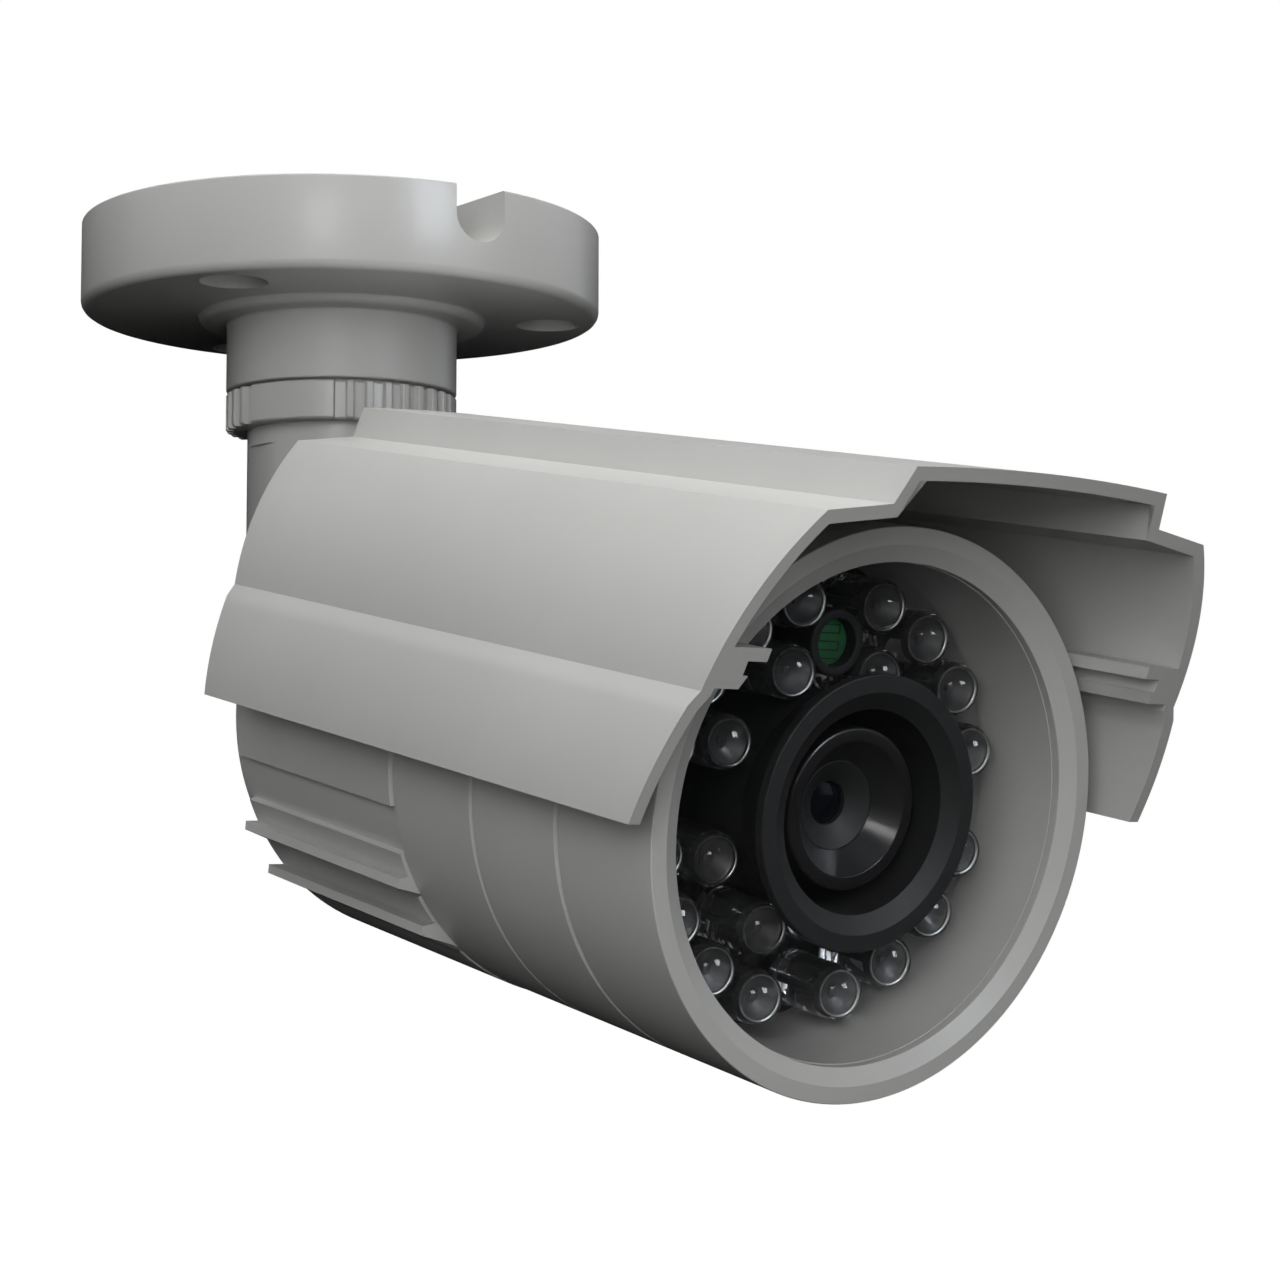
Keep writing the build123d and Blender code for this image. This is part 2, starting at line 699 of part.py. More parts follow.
def rear_cap():
    """Back cover, with the boss for the roll stud, the gland hole and four screw holes."""
    plug = tube_bore - cap_plug_gap
    cap = turned([
        (0, cap_plug_y), (plug, cap_plug_y), (plug, housing_end_y), (cap_flange_radius, housing_end_y),
        (cap_flange_radius, cap_rear_y - cap_flange_chamfer),
        (cap_flange_radius - cap_flange_chamfer, cap_rear_y),
        (cap_boss_radius + cap_boss_fillet, cap_rear_y), (cap_boss_radius, cap_rear_y + cap_boss_fillet),
        (cap_boss_radius, cap_boss_y), (0, cap_boss_y)])
    groove_half = seal_section / 2 + running_gap
    cap -= tube(plug + cut_margin, plug - seal_section - running_gap, cap_seal_y - groove_half,
                cap_seal_y + groove_half)
    cap -= rod(stud_radius + running_gap / 2, cap_plug_y - cut_margin, cap_boss_y + cut_margin)
    cap -= rod(gland_radius, cap_plug_y - cut_margin, cap_boss_y + cut_margin, z=-gland_drop)
    for x, z in cap_screw_places:
        cap -= rod(cap_screw_radius + running_gap, cap_plug_y - cut_margin, cap_rear_y + cut_margin, x, z)
        cap -= rod(cap_screw_head_radius + running_gap, cap_head_y, cap_rear_y + cut_margin, x, z)
    return cap


def rear_cap_seal():
    """Seal around the cap's plug."""
    return o_ring(tube_bore - cap_plug_gap - seal_section / 2, seal_section, cap_seal_y)


def rear_cap_screws():
    """Four socket screws that hold the cap."""
    screws = []
    for x, z in cap_screw_places:
        screw = rod(cap_screw_head_radius, cap_head_y, cap_head_y + cap_screw_head_height, x, z)
        screw += rod(cap_screw_radius, cap_screw_end_y, cap_head_y, x, z)
        screws.append(screw - along_hexagon(
            cap_screw_socket_flats, cap_head_y + cap_screw_socket_floor, cap_rear_y + cut_margin, x, z))
    return group(screws)


def cable_gland():
    """Rubber inlet for the camera's cable."""
    inner_y = cap_plug_y - gland_inner_length
    seat_y = cap_rear_y + running_gap / 2
    end_y = cap_rear_y + gland_flange_thick
    gland = turned([
        (cable_bore, inner_y), (gland_radius - running_gap, inner_y), (gland_radius - running_gap, seat_y),
        (gland_flange_radius, seat_y), (gland_flange_radius, cap_rear_y + gland_rim_thick),
        (gland_radius, end_y), (cable_bore, end_y)])
    boss_room = rod(cap_boss_radius + cap_boss_fillet + part_gap, cap_rear_y - cut_margin,
                    cap_boss_y + cut_margin)
    flange_only = block(3 * gland_flange_radius, 3 * gland_flange_radius, cap_rear_y,
                        cap_boss_y + cut_margin, z=-gland_drop)
    return Pos(0, 0, -gland_drop) * gland - (boss_room & flange_only)


def roll_stud():
    """Threaded stud fixed in the rear cap, which joins the camera to the knuckle."""
    return (rod(stud_flange_radius, cap_plug_y - stud_flange_thick, cap_plug_y)
            + rod(stud_radius, cap_plug_y, stud_end_y))


# ---------------------------------------------------------------- boards and what they carry
def led_board():
    """Ring-shaped board that carries the lamps and the light sensor."""
    board = tube(board_radius, hood_outer + part_gap, led_board_y, led_board_rear_y)
    for x, z in screw_corners:
        board -= rod(board_screw_radius + board_screw_gap, led_board_y - cut_margin,
                     led_board_rear_y + cut_margin, x, z)
    return board


def lamp_places():
    """Centres of the lamps: an outer circle of sixteen and an inner circle of eight."""
    places = []
    for circle, angles in ((outer_lamp_circle, outer_lamp_angles),
                           (inner_lamp_circle, inner_lamp_angles)):
        for quarter in range(4):
            for angle in angles:
                turn = radians(angle + 90 * quarter)
                places.append((circle * cos(turn), circle * sin(turn)))
    return places


def led_lenses():
    """Clear round-nosed lamp bodies."""
    shoulder_y = lamp_tip_y + lamp_radius
    flange_y = lamp_base_y - lamp_flange_height
    nose = ThreePointArc((0, lamp_tip_y), (lamp_radius * sin(radians(45)),
                                           shoulder_y - lamp_radius * cos(radians(45))),
                         (lamp_radius, shoulder_y))
    sides = Polyline((lamp_radius, shoulder_y), (lamp_radius, flange_y), (lamp_flange, flange_y),
                     (lamp_flange, lamp_base_y), (0, lamp_base_y), (0, lamp_tip_y))
    lamp = revolve(make_face(nose + sides), Axis.Y, 360)
    return group([Pos(x, 0, z) * lamp for x, z in lamp_places()])


def led_leads():
    """Two wire legs under each lamp."""
    legs = []
    for x, z in lamp_places():
        for side in (-0.5, 0.5):
            legs.append(rod(lamp_lead_radius, lamp_base_y, led_board_y, x + side * lamp_lead_spacing, z))
    return group(legs)


def light_sensor_holder():
    """Black tube that shades the light sensor from the lamps."""
    ledge_y = sensor_tube_y + cell_depth + cell_thick + running_gap
    bore = cell_radius + running_gap / 2
    holder = turned([
        (bore, sensor_tube_y), (sensor_tube_radius, sensor_tube_y), (sensor_tube_radius, led_board_y),
        (bore - cell_ledge_width, led_board_y), (bore - cell_ledge_width, ledge_y), (bore, ledge_y)])
    return Pos(0, 0, sensor_tube_height) * holder


def light_sensor_cell():
    """Round light-sensitive cell."""
    front = sensor_tube_y + cell_depth
    return rod(cell_radius, front, front + cell_thick, z=sensor_tube_height)


def board_screws(face_y, towards):
    """Four pan-head screws at the board corners, heads on the face and shanks running towards -1 or 1."""
    head_y = face_y - towards * board_screw_head_height
    shank_y = face_y + towards * (board_thick + board_screw_reach)
    screws = []
    for x, z in screw_corners:
        screw = rod(board_screw_head_radius, min(head_y, face_y), max(head_y, face_y), x, z)
        screw += rod(board_screw_radius, min(face_y, shank_y), max(face_y, shank_y), x, z)
        screws.append(screw)
    return group(screws)


def standoff(x, z, y_from, y_to):
    """Hexagon spacer between two boards, tapped at its front end."""
    spacer = along_hexagon(standoff_flats, y_from, y_to, x, z)
    return spacer - rod(board_screw_radius + running_gap / 2, y_from - cut_margin,
                        y_from + board_screw_reach + part_gap, x, z)


def front_standoffs():
    """Hexagon spacers from the lamp board to the sensor board, with studs at their rear."""
    spacers = []
    for x, z in screw_corners:
        stud = rod(board_screw_radius, sensor_board_y, sensor_board_rear_y + board_screw_reach, x, z)
        spacers.append(standoff(x, z, led_board_rear_y, sensor_board_y) + stud)
    return group(spacers)


def rear_standoffs():
    """Hexagon spacers from the sensor board to the power board, tapped at both ends."""
    spacers = []
    for x, z in screw_corners:
        drill = rod(board_screw_radius + running_gap / 2, power_board_y - board_screw_reach - part_gap,
                    power_board_y + cut_margin, x, z)
        spacers.append(standoff(x, z, sensor_board_rear_y, power_board_y) - drill)
    return group(spacers)


def square_circuit(front_y):
    """Square board with holes for the spacers."""
    board = block(square_board, square_board, front_y, front_y + board_thick)
    for x, z in screw_corners:
        board -= rod(board_screw_radius + board_screw_gap, front_y - cut_margin,
                     front_y + board_thick + cut_margin, x, z)
    return board


def sensor_board():
    """Board behind the lens, drilled for the lens mount's screws."""
    board = square_circuit(sensor_board_y)
    for side in (-1, 1):
        board -= rod(mount_screw_radius + running_gap, sensor_board_y - cut_margin,
                     sensor_board_rear_y + cut_margin, side * mount_screw_x)
    return board


def led_ribbon():
    """Flat lead from the lamp board down the side of the boards and into its socket."""
    low = -square_board / 2 - ribbon_drop
    bend_y = power_board_rear_y + ribbon_socket_height
    end_y = bend_y + ribbon_thick
    rise_low = low - ribbon_thick / 2
    rise_top = ribbon_socket_z + ribbon_socket_depth / 2
    run = block(ribbon_width, ribbon_thick, led_board_rear_y, end_y, z=low)
    rise = block(ribbon_width, rise_top - rise_low, bend_y, end_y, z=(rise_low + rise_top) / 2)
    return run + rise


# ---------------------------------------------------------------- lens group
def lens_hood():
    """Matt black cup between the lens and the window, which keeps lamp light out of the lens."""
    return turned([
        (hood_face_radius, sleeve_y + running_gap / 2), (hood_front_radius, sleeve_y + running_gap / 2),
        (hood_front_radius, sleeve_y + hood_chamfer), (hood_outer, hood_cone_y), (hood_outer, hood_end_y),
        (mount_tube_radius + running_gap, hood_end_y), (mount_tube_radius + running_gap, hood_socket_y),
        (hood_bore, hood_socket_y), (hood_bore, sleeve_y + hood_chamfer)])


def lens_barrel():
    """Threaded lens barrel with a stepped conical mouth."""
    return turned([
        (lens_eye_radius, lens_eye_y), (lens_step_radius, lens_step_y), (lens_mouth_radius, lens_front_y),
        (lens_head_radius - lens_head_chamfer, lens_front_y),
        (lens_head_radius, lens_front_y + lens_head_chamfer),
        (lens_head_radius, lens_head_end_y), (lens_thread_radius, lens_head_end_y),
        (lens_thread_radius, lens_end_y), (lens_bore, lens_end_y), (lens_bore, lens_eye_y + lens_eye_land),
        (lens_eye_radius, lens_eye_y + lens_eye_land)])


def lens_front_element():
    """Front glass with a small domed face in the lens's eye."""
    seat = lens_eye_y + lens_eye_land + element_gap
    rim = lens_eye_radius - element_gap
    dome_y = lens_eye_y + element_dome
    dome = ThreePointArc((0, lens_eye_y), (rim / 2, lens_eye_y + element_dome / 4), (rim, dome_y))
    body = Polyline((rim, dome_y), (rim, seat), (lens_bore - element_gap, seat),
                    (lens_bore - element_gap, seat + front_element_thick),
                    (0, seat + front_element_thick), (0, lens_eye_y))
    return revolve(make_face(dome + body), Axis.Y, 360)


def lens_rear_element():
    """Rear glass."""
    rear_y = lens_end_y - rear_element_inset
    return rod(lens_bore - element_gap, rear_y - rear_element_thick, rear_y)


def lens_lock_ring():
    """Notched ring that locks the focus."""
    ring = tube(lock_ring_radius, lens_thread_radius + running_gap, lock_ring_y,
                lock_ring_y + lock_ring_height)
    for index in range(lock_ring_notches):
        notch = Pos(lock_ring_radius, lock_ring_y + lock_ring_height / 2, 0) * Box(
            2 * lock_ring_notch_depth, lock_ring_height + cut_margin, lock_ring_notch_width)
        ring -= Rot(0, index * 360 / lock_ring_notches, 0) * notch
    return ring


def lens_mount():
    """Threaded holder on the sensor board, with a seat for the filter and room for the chip."""
    thread = lens_thread_radius + running_gap
    mount = rod(mount_tube_radius, mount_tube_y, mount_plate_y)
    mount += block(mount_plate, mount_plate, mount_plate_y, sensor_board_y)
    mount -= rod(thread, mount_tube_y - cut_margin, filter_y - filter_seat_thick)
    mount -= rod(mount_ledge_radius, mount_tube_y, sensor_board_y)
    mount -= rod(filter_radius + running_gap, filter_y, sensor_board_y)
    mount -= rod(chip_pocket, chip_y - part_gap, sensor_board_y + cut_margin)
    for side in (-1, 1):
        mount -= rod(mount_screw_radius + running_gap / 2, mount_plate_y + mount_screw_floor,
                     sensor_board_y + cut_margin, side * mount_screw_x)
    return mount


def lens_mount_screws():
    """Two small screws through the sensor board into the lens mount."""
    screws = []
    for side in (-1, 1):
        x = side * mount_screw_x
        shank_y = mount_plate_y + mount_screw_floor + part_gap
        shank = rod(mount_screw_radius, shank_y, sensor_board_rear_y, x)
        screws.append(shank + rod(mount_screw_head_radius, sensor_board_rear_y,
                                  sensor_board_rear_y + mount_screw_head_height, x))
    return group(screws)


# ---------------------------------------------------------------- sunshield
def shield_face():
    """Closed outline of the shield's outer surface, carried down past its lower edges."""
    below = (shield_skirt_foot[0], -shield_trim)

    def left(point):
        """The same point on the other side."""
        return (-point[0], point[1])

    right_side = [
        Line(shield_top_corner, shield_step_foot), Line(shield_step_foot, shield_shoulder),
        ThreePointArc(shield_shoulder, shield_side_mid, shield_waist),
        Line(shield_waist, shield_skirt_top),
        ThreePointArc(shield_skirt_top, shield_skirt_mid, shield_skirt_foot),
        Line(shield_skirt_foot, below)]
    left_side = [
        Line(left(below), left(shield_skirt_foot)),
        ThreePointArc(left(shield_skirt_foot), left(shield_skirt_mid), left(shield_skirt_top)),
        Line(left(shield_skirt_top), left(shield_waist)),
        ThreePointArc(left(shield_waist), left(shield_side_mid), left(shield_shoulder)),
        Line(left(shield_shoulder), left(shield_step_foot)),
        Line(left(shield_step_foot), left(shield_top_corner))]
    crown = ThreePointArc(left(shield_top_corner), (0, shield_top_z), shield_top_corner)
    floor = Line(below, left(below))
    return make_face([crown] + right_side + [floor] + left_side)


def rail_face(side):
    """Rail with a slot that opens towards the camera and takes one of the housing's upper fins."""
    slot_top = rail_fin_top_z + rail_slot_gap
    slot_low = rail_fin_top_z - fin_thick - rail_slot_gap
    slot_x = rail_fin_tip_x + rail_slot_play
    wall_x = shield_waist[0] - shield_wall / 2
    top = slot_top + rail_lip_thick
    low = slot_low - rail_lip_thick
    rail_upper_lip_x = rail_fin_tip_x - rail_upper_overlap
    rail_lower_lip_x = rail_fin_tip_x - rail_lower_overlap
    points = [(wall_x, top), (rail_upper_lip_x, top), (rail_upper_lip_x, slot_top), (slot_x, slot_top),
              (slot_x, slot_low), (rail_lower_lip_x, slot_low),
              (rail_lower_lip_x + rail_lip_thick * rail_lip_slope, low), (wall_x, low)]
    return make_face(Polyline(*[(side * x, z) for x, z in points], close=True))


def sunshield():
    """Bent sheet hood over the camera, with two inner rails, a raked front end and a screw boss."""
    outer = shield_face()
    section = outer - offset(outer, -shield_wall)
    tall = 2 * shield_top_z
    section = section & (Pos(0, tall / 2) * Rectangle(4 * housing_radius, tall))
    for side in (-1, 1):
        section += rail_face(side) & outer
    rake_top_z = shield_top_z + shield_trim
    front = shield_front_y - shield_front_rake * rake_top_z
    shield = Pos(0, front, 0) * extrude(Plane.XZ * section, front - shield_rear_y)
    rake = make_face(Polyline(
        (front - shield_trim, -shield_trim),
        (shield_front_y + shield_trim * shield_front_rake, -shield_trim),
        (front, rake_top_z), (front - shield_trim, rake_top_z), close=True))
    shield -= Pos(-2 * housing_radius, 0, 0) * extrude(Plane.YZ * rake, 4 * housing_radius)
    boss_low = shield_top_z - shield_wall - set_screw_boss_height
    boss_top = shield_top_z - shield_wall / 2
    shield += Pos(0, set_screw_y, (boss_low + boss_top) / 2) * Cylinder(
        set_screw_boss_radius, boss_top - boss_low)
    drill = Pos(0, set_screw_y, shield_top_z) * Cylinder(
        set_screw_radius + running_gap / 2, 4 * (set_screw_boss_height + shield_wall))
    return shield - drill


def shield_set_screw():
    """Grub screw through the shield's boss that bears on the housing."""
    low = housing_radius + set_screw_clearance
    high = shield_top_z - set_screw_sink
    screw = Pos(0, set_screw_y, (low + high) / 2) * Cylinder(set_screw_radius, high - low)
    socket = extrude(RegularPolygon(set_screw_socket_flats / 2, 6, major_radius=False),
                     2 * set_screw_socket_depth)
    return screw - Pos(0, set_screw_y, high - set_screw_socket_depth) * socket


# ---------------------------------------------------------------- all pieces
bracket_pieces = {
    "mount_base": mount_base(),
    "pan_lock_ring": pan_lock_ring(),
    "bracket_arm": bracket_arm(),
    "tilt_screw": tilt_screw(),
    "tilt_nut": tilt_nut(),
    "tilt_washers": tilt_washers(),
}

camera_pieces = {
    "tilt_knuckle": tilt_knuckle(),
    "roll_lock_ring": roll_lock_ring(),
    "front_bezel": front_bezel(),
    "front_window": front_window(),
    "window_seal": window_seal(),
    "inner_sleeve": inner_sleeve(),
    "front_tube": front_tube(),
    "rear_housing": rear_housing(),
    "housing_seal": housing_seal(),
    "rear_cap": rear_cap(),
    "rear_cap_seal": rear_cap_seal(),
    "rear_cap_screws": rear_cap_screws(),
    "cable_gland": cable_gland(),
    "roll_stud": roll_stud(),
    "led_board": led_board(),
    "led_lenses": led_lenses(),
    "led_leads": led_leads(),
    "light_sensor_holder": light_sensor_holder(),
    "light_sensor_cell": light_sensor_cell(),
    "led_board_screws": board_screws(led_board_y, 1),
    "front_standoffs": front_standoffs(),
    "sensor_board": sensor_board(),
    "rear_standoffs": rear_standoffs(),
    "power_board": square_circuit(power_board_y),
    "power_board_screws": board_screws(power_board_rear_y, -1),
    "video_chip": block(video_chip_size, video_chip_size, sensor_board_rear_y,
                        sensor_board_rear_y + video_chip_height),
    "board_connector": block(connector_width, connector_depth, sensor_board_rear_y,
                             sensor_board_rear_y + connector_height, z=connector_place),
    "power_capacitor": rod(capacitor_radius, power_board_rear_y, power_board_rear_y + capacitor_height,
                           x=power_part_x, z=power_part_z),
    "power_coil": block(coil_size, coil_size, power_board_rear_y, power_board_rear_y + coil_height,
                        x=-power_part_x, z=power_part_z),
    "ribbon_socket": block(ribbon_socket_width, ribbon_socket_depth, power_board_rear_y,
                           power_board_rear_y + ribbon_socket_height, z=ribbon_socket_z),
    "led_ribbon": led_ribbon(),
    "lens_hood": lens_hood(),
    "lens_barrel": lens_barrel(),
    "lens_front_element": lens_front_element(),
    "lens_rear_element": lens_rear_element(),
    "lens_lock_ring": lens_lock_ring(),
    "lens_mount": lens_mount(),
    "lens_mount_screws": lens_mount_screws(),
    "infrared_filter": rod(filter_radius, filter_y, filter_y + filter_thick),
    "image_sensor": block(chip_width, chip_height, chip_y, sensor_board_y),
    "sunshield": sunshield(),
    "shield_set_screw": shield_set_screw(),
}

for name, piece in bracket_pieces.items():
    export_step(piece, f"parts/{name}.step")
for name, piece in camera_pieces.items():
    export_step(camera_place * piece, f"parts/{name}.step")
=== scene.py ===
"""Bullet security camera on a three-way ceiling bracket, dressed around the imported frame.

Bracket pieces are drawn in the frame's own axes.  Camera pieces are drawn in camera axes, with x to the
right, y back along the lens axis from the front ring and z up, and CAMERA_AXES carries them onto the
bracket.  Sizes are in metres.
"""
import json

import bmesh
import bpy
import numpy as np
from math import cos, pi, radians, sin, tan
from mathutils import Matrix, Vector


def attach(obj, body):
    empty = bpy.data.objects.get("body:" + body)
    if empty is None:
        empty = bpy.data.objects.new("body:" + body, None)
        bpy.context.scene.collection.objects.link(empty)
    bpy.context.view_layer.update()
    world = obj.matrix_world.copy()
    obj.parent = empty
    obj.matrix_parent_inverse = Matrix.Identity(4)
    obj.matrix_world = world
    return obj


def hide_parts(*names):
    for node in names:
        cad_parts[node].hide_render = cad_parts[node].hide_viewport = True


bl_info = {
    "name": "Bullet Security Camera",
    "version": (1, 0, 0),
    "blender": (4, 5, 0),
    "location": "View3D > Sidebar > Security Camera",
    "description": "Builds a bullet security camera on a three-way ceiling bracket",
    "category": "Object",
}

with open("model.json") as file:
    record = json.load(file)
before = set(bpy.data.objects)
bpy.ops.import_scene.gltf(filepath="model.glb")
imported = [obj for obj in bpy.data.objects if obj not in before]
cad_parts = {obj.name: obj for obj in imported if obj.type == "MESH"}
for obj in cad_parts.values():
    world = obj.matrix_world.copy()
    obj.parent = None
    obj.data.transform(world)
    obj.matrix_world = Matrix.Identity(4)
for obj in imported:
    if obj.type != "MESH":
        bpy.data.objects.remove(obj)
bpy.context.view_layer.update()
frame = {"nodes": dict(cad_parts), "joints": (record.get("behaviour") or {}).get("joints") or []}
MM = 0.001

JOINTS = {joint["name"]: joint for joint in frame["joints"]}
LENS_BACK = np.array(JOINTS["roll"]["axis"], float)
LENS_UP = np.array([0.0, -LENS_BACK[2], LENS_BACK[1]])
TILT_PIVOT = np.array(JOINTS["tilt"]["pos_m"], float)
FRONT_FACE = 0.55 * MM    # place of the front ring's face along the lens axis


def node_points(name):
    """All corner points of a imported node, as rows of x, y, z."""
    mesh = frame["nodes"][name].data
    points = np.empty(len(mesh.vertices) * 3)
    mesh.vertices.foreach_get("co", points)
    return points.reshape(-1, 3)


PIVOT_BACK = FRONT_FACE - ((node_points("front_bezel") - TILT_PIVOT) @ LENS_BACK).min()
CAMERA_AXES = np.array([[1.0, 0.0, 0.0], LENS_BACK, LENS_UP])
CAMERA_START = TILT_PIVOT - PIVOT_BACK * LENS_BACK


def size(name, description, millimetres):
    """A length property whose default is given in millimetres."""
    return bpy.props.FloatProperty(name=name, description=description, default=millimetres * MM,
                                   unit="LENGTH", subtype="DISTANCE", precision=5)


def tint(name, description, colour):
    """A colour property with a linear default."""
    return bpy.props.FloatVectorProperty(name=name, description=description, default=colour,
                                         subtype="COLOR", size=3, min=0.0, max=1.0)


def share(name, description, value, most=1.0):
    """A plain number property."""
    return bpy.props.FloatProperty(name=name, description=description, default=value,
                                   min=0.0, max=most, subtype="FACTOR" if most == 1.0 else "NONE")


def turn(name, description, degrees):
    """An angle property whose default is given in degrees."""
    return bpy.props.FloatProperty(name=name, description=description, default=radians(degrees),
                                   unit="ROTATION", subtype="ANGLE")


class BracketSizes(bpy.types.PropertyGroup):
    """Sizes of the ceiling base and the grip rings."""
    base_radius: size("Base radius", "Outer radius of the ceiling base", 29.4)
    base_thick: size("Base thickness", "Thickness of the ceiling base", 9.9)
    base_round: size("Base rounding", "Rounding of the base's lower edge", 1.0)
    bead_radius: size("Bead radius", "Radius of the raised bead round the neck", 16.3)
    bead_height: size("Bead height", "Height of the raised bead", 1.0)
    neck_radius: size("Neck radius", "Radius of the neck and its grip ring", 13.1)
    neck_end: size("Neck end", "Depth of the neck's end below the mounting face", 18.6)
    thread_radius: size("Thread radius", "Radius of the neck's thread", 11.6)
    thread_end: size("Thread end", "Depth of the thread's end below the mounting face", 20.4)
    cavity_radius: size("Cavity radius", "Radius of the wiring space", 15.0)
    cavity_depth: size("Cavity depth", "Depth of the wiring space", 5.5)
    bore_radius: size("Bore radius", "Bore for the arm's spigot", 8.1)
    screw_circle: size("Screw circle", "Diameter of the circle of screw holes", 47.2)
    screw_hole: size("Screw hole", "Radius of a screw hole", 2.25)
    countersink: size("Countersink", "Radius of a countersink", 3.65)
    countersink_depth: size("Countersink depth", "Depth of a countersink", 1.8)
    notch_width: size("Notch width", "Width of the cable notch", 6.0)
    notch_offset: size("Notch offset", "Distance of the notch from the middle", -0.6)
    ring_height: size("Grip ring height", "Height of a grip ring", 4.2)
    pan_ring_top: size("Pan ring top", "Depth of the pan ring's top below the mounting face", 18.9)
    roll_ring_front: size("Roll ring front", "Place of the roll ring along the lens axis", 74.8)
    arm_radius: size("Arm radius", "Radius of the arm and of the roll ring", 10.65)
    valley_depth: size("Grip valley depth", "Depth of the valleys between the ribs", 0.7)
    edge: size("Edge rounding", "Small rounding of the bracket's other edges", 0.25)
    first_rib: turn("First rib", "Where the first group of grip ribs starts", -124.6)
    rib_group: turn("Rib group", "Angle taken by one group of ribs", 77.0)
    ribs: bpy.props.IntProperty(name="Ribs", description="Ribs in one group", default=8, min=1)
    valley_share: share("Valley share", "Share of the pitch taken by a valley", 0.64)


class HousingSizes(bpy.types.PropertyGroup):
    """Sizes of the tubular housing."""
    ring_radius: size("Ring radius", "Outer radius of the front ring and tube", 25.0)
    chamfer_radius: size("Chamfer radius", "Outer radius of the front chamfer", 23.46)
    lip_radius: size("Lip radius", "Inner radius of the front lip", 21.92)
    lip_place: size("Lip place", "Place of the lip behind the front", 1.3)
    bezel_end: size("Bezel end", "Place of the front ring's seam", 13.6)
    tube_end: size("Tube end", "Place of the seam between the tube and the rear housing", 40.0)
    line_place: size("Turned line", "Place of the line turned in the tube", 26.7)
    seam: size("Seam chamfer", "Chamfer behind each seam", 0.5)
    housing_radius: size("Housing radius", "Radius of the rear housing", 25.1)
    housing_end: size("Housing end", "Place of the rear housing's end", 69.8)
    bore: size("Bore", "Inner radius of the tube", 23.1)
    recess_depth: size("Recess depth", "Depth of the side recess", 0.65)
    recess_from: turn("Recess start", "Upper edge of the side recess below the middle", 14.2)
    recess_to: turn("Recess end", "Lower edge of the side recess below the middle", 25.2)
    fin_thick: size("Fin thickness", "Thickness of a fin's tip", 0.9)
    fin_taper: turn("Fin taper", "Slope of a fin's underside", 20.5)
    sleeve_radius: size("Sleeve radius", "Bore of the inner sleeve", 21.85)
    sleeve_front: size("Sleeve front", "Place of the sleeve's front", 2.2)
    sleeve_end: size("Sleeve end", "Place of the sleeve's end", 17.5)
    cap_radius: size("Cap radius", "Radius of the rear cap", 24.2)
    cap_rear: size("Cap rear", "Place of the cap's rear face", 72.3)
    boss_radius: size("Boss radius", "Radius of the cap's boss", 9.5)
    boss_rear: size("Boss rear", "Place of the boss's rear face", 74.5)
    cap_screw_circle: size("Cap screw circle", "Radius of the circle of cap screws", 20.0)
    cap_screw_room: size("Cap screw room", "Radius of a cap screw's counterbore", 2.5)
    cap_screw_depth: size("Cap screw depth", "Depth of a cap screw's counterbore", 1.6)
    gland_drop: size("Gland drop", "Distance of the cable gland below the lens axis", 15.0)
    gland_radius: size("Gland radius", "Radius of the hole for the cable gland", 4.5)
    edge: size("Edge rounding", "Small rounding of the housing's edges", 0.12)


class ShieldSizes(bpy.types.PropertyGroup):
    """Sizes of the bent sheet sunshield, as half an outline seen from the front."""
    wall: size("Wall", "Thickness of the sheet", 1.15)
    top: size("Crown height", "Height of the crown above the lens axis", 30.6)
    corner_x: size("Crown corner across", "Half width of the crown", 14.3)
    corner_z: size("Crown corner height", "Height of the crown's corner", 30.05)
    step_x: size("Step foot across", "Half width at the foot of the crown's step", 15.2)
    step_z: size("Step foot height", "Height of the step's foot", 27.0)
    shoulder_x: size("Shoulder across", "Half width at the shoulder", 21.5)
    shoulder_z: size("Shoulder height", "Height of the shoulder", 26.05)
    side_x: size("Side across", "Half width at the middle of the upper side", 25.28)
    side_z: size("Side height", "Height of that middle", 19.4)
    waist_x: size("Waist across", "Half width at the waist", 27.1)
    waist_z: size("Waist height", "Height of the waist", 11.2)
    skirt_x: size("Skirt top across", "Half width at the skirt's top", 27.85)
    skirt_z: size("Skirt top height", "Height of the skirt's top", 10.0)
    belly_x: size("Skirt middle across", "Half width at the skirt's middle", 28.95)
    belly_z: size("Skirt middle height", "Height of the skirt's middle", 5.0)
    foot_x: size("Foot across", "Half width at the skirt's lower edge", 29.3)
    rear: size("Rear edge", "Place of the rear edge along the lens axis", 69.2)
    front: size("Front edge", "Place of the front edge at the lens axis's height", -1.85)
    rake: share("Rake", "How far the front edge leans forward for each unit of height", 0.395)
    slot_top: size("Slot top", "Height of the upper side of the rail's slot", 13.75)
    slot_low: size("Slot bottom", "Height of the lower side of the rail's slot", 12.55)
    slot_x: size("Slot depth", "Half width at the bottom of the rail's slot", 23.6)
    upper_lip_x: size("Upper lip across", "Half width at the rail's upper lip", 21.7)
    lower_lip_x: size("Lower lip across", "Half width at the rail's lower lip", 23.04)
    lip_thick: size("Lip thickness", "Thickness of the rail's lips", 1.1)
    lip_slope: size("Lip slope", "How far the lower lip's foot leans out", 0.5)
    boss_place: size("Boss place", "Place of the lock screw along the lens axis", 55.0)
    boss_radius: size("Boss radius", "Radius of the lock screw's boss", 3.2)
    boss_height: size("Boss height", "Height of that boss under the sheet", 2.4)
    screw_hole: size("Screw hole", "Radius of the lock screw's hole", 1.55)
    edge: size("Edge rounding", "Rounding of the sheet's edges", 0.16)


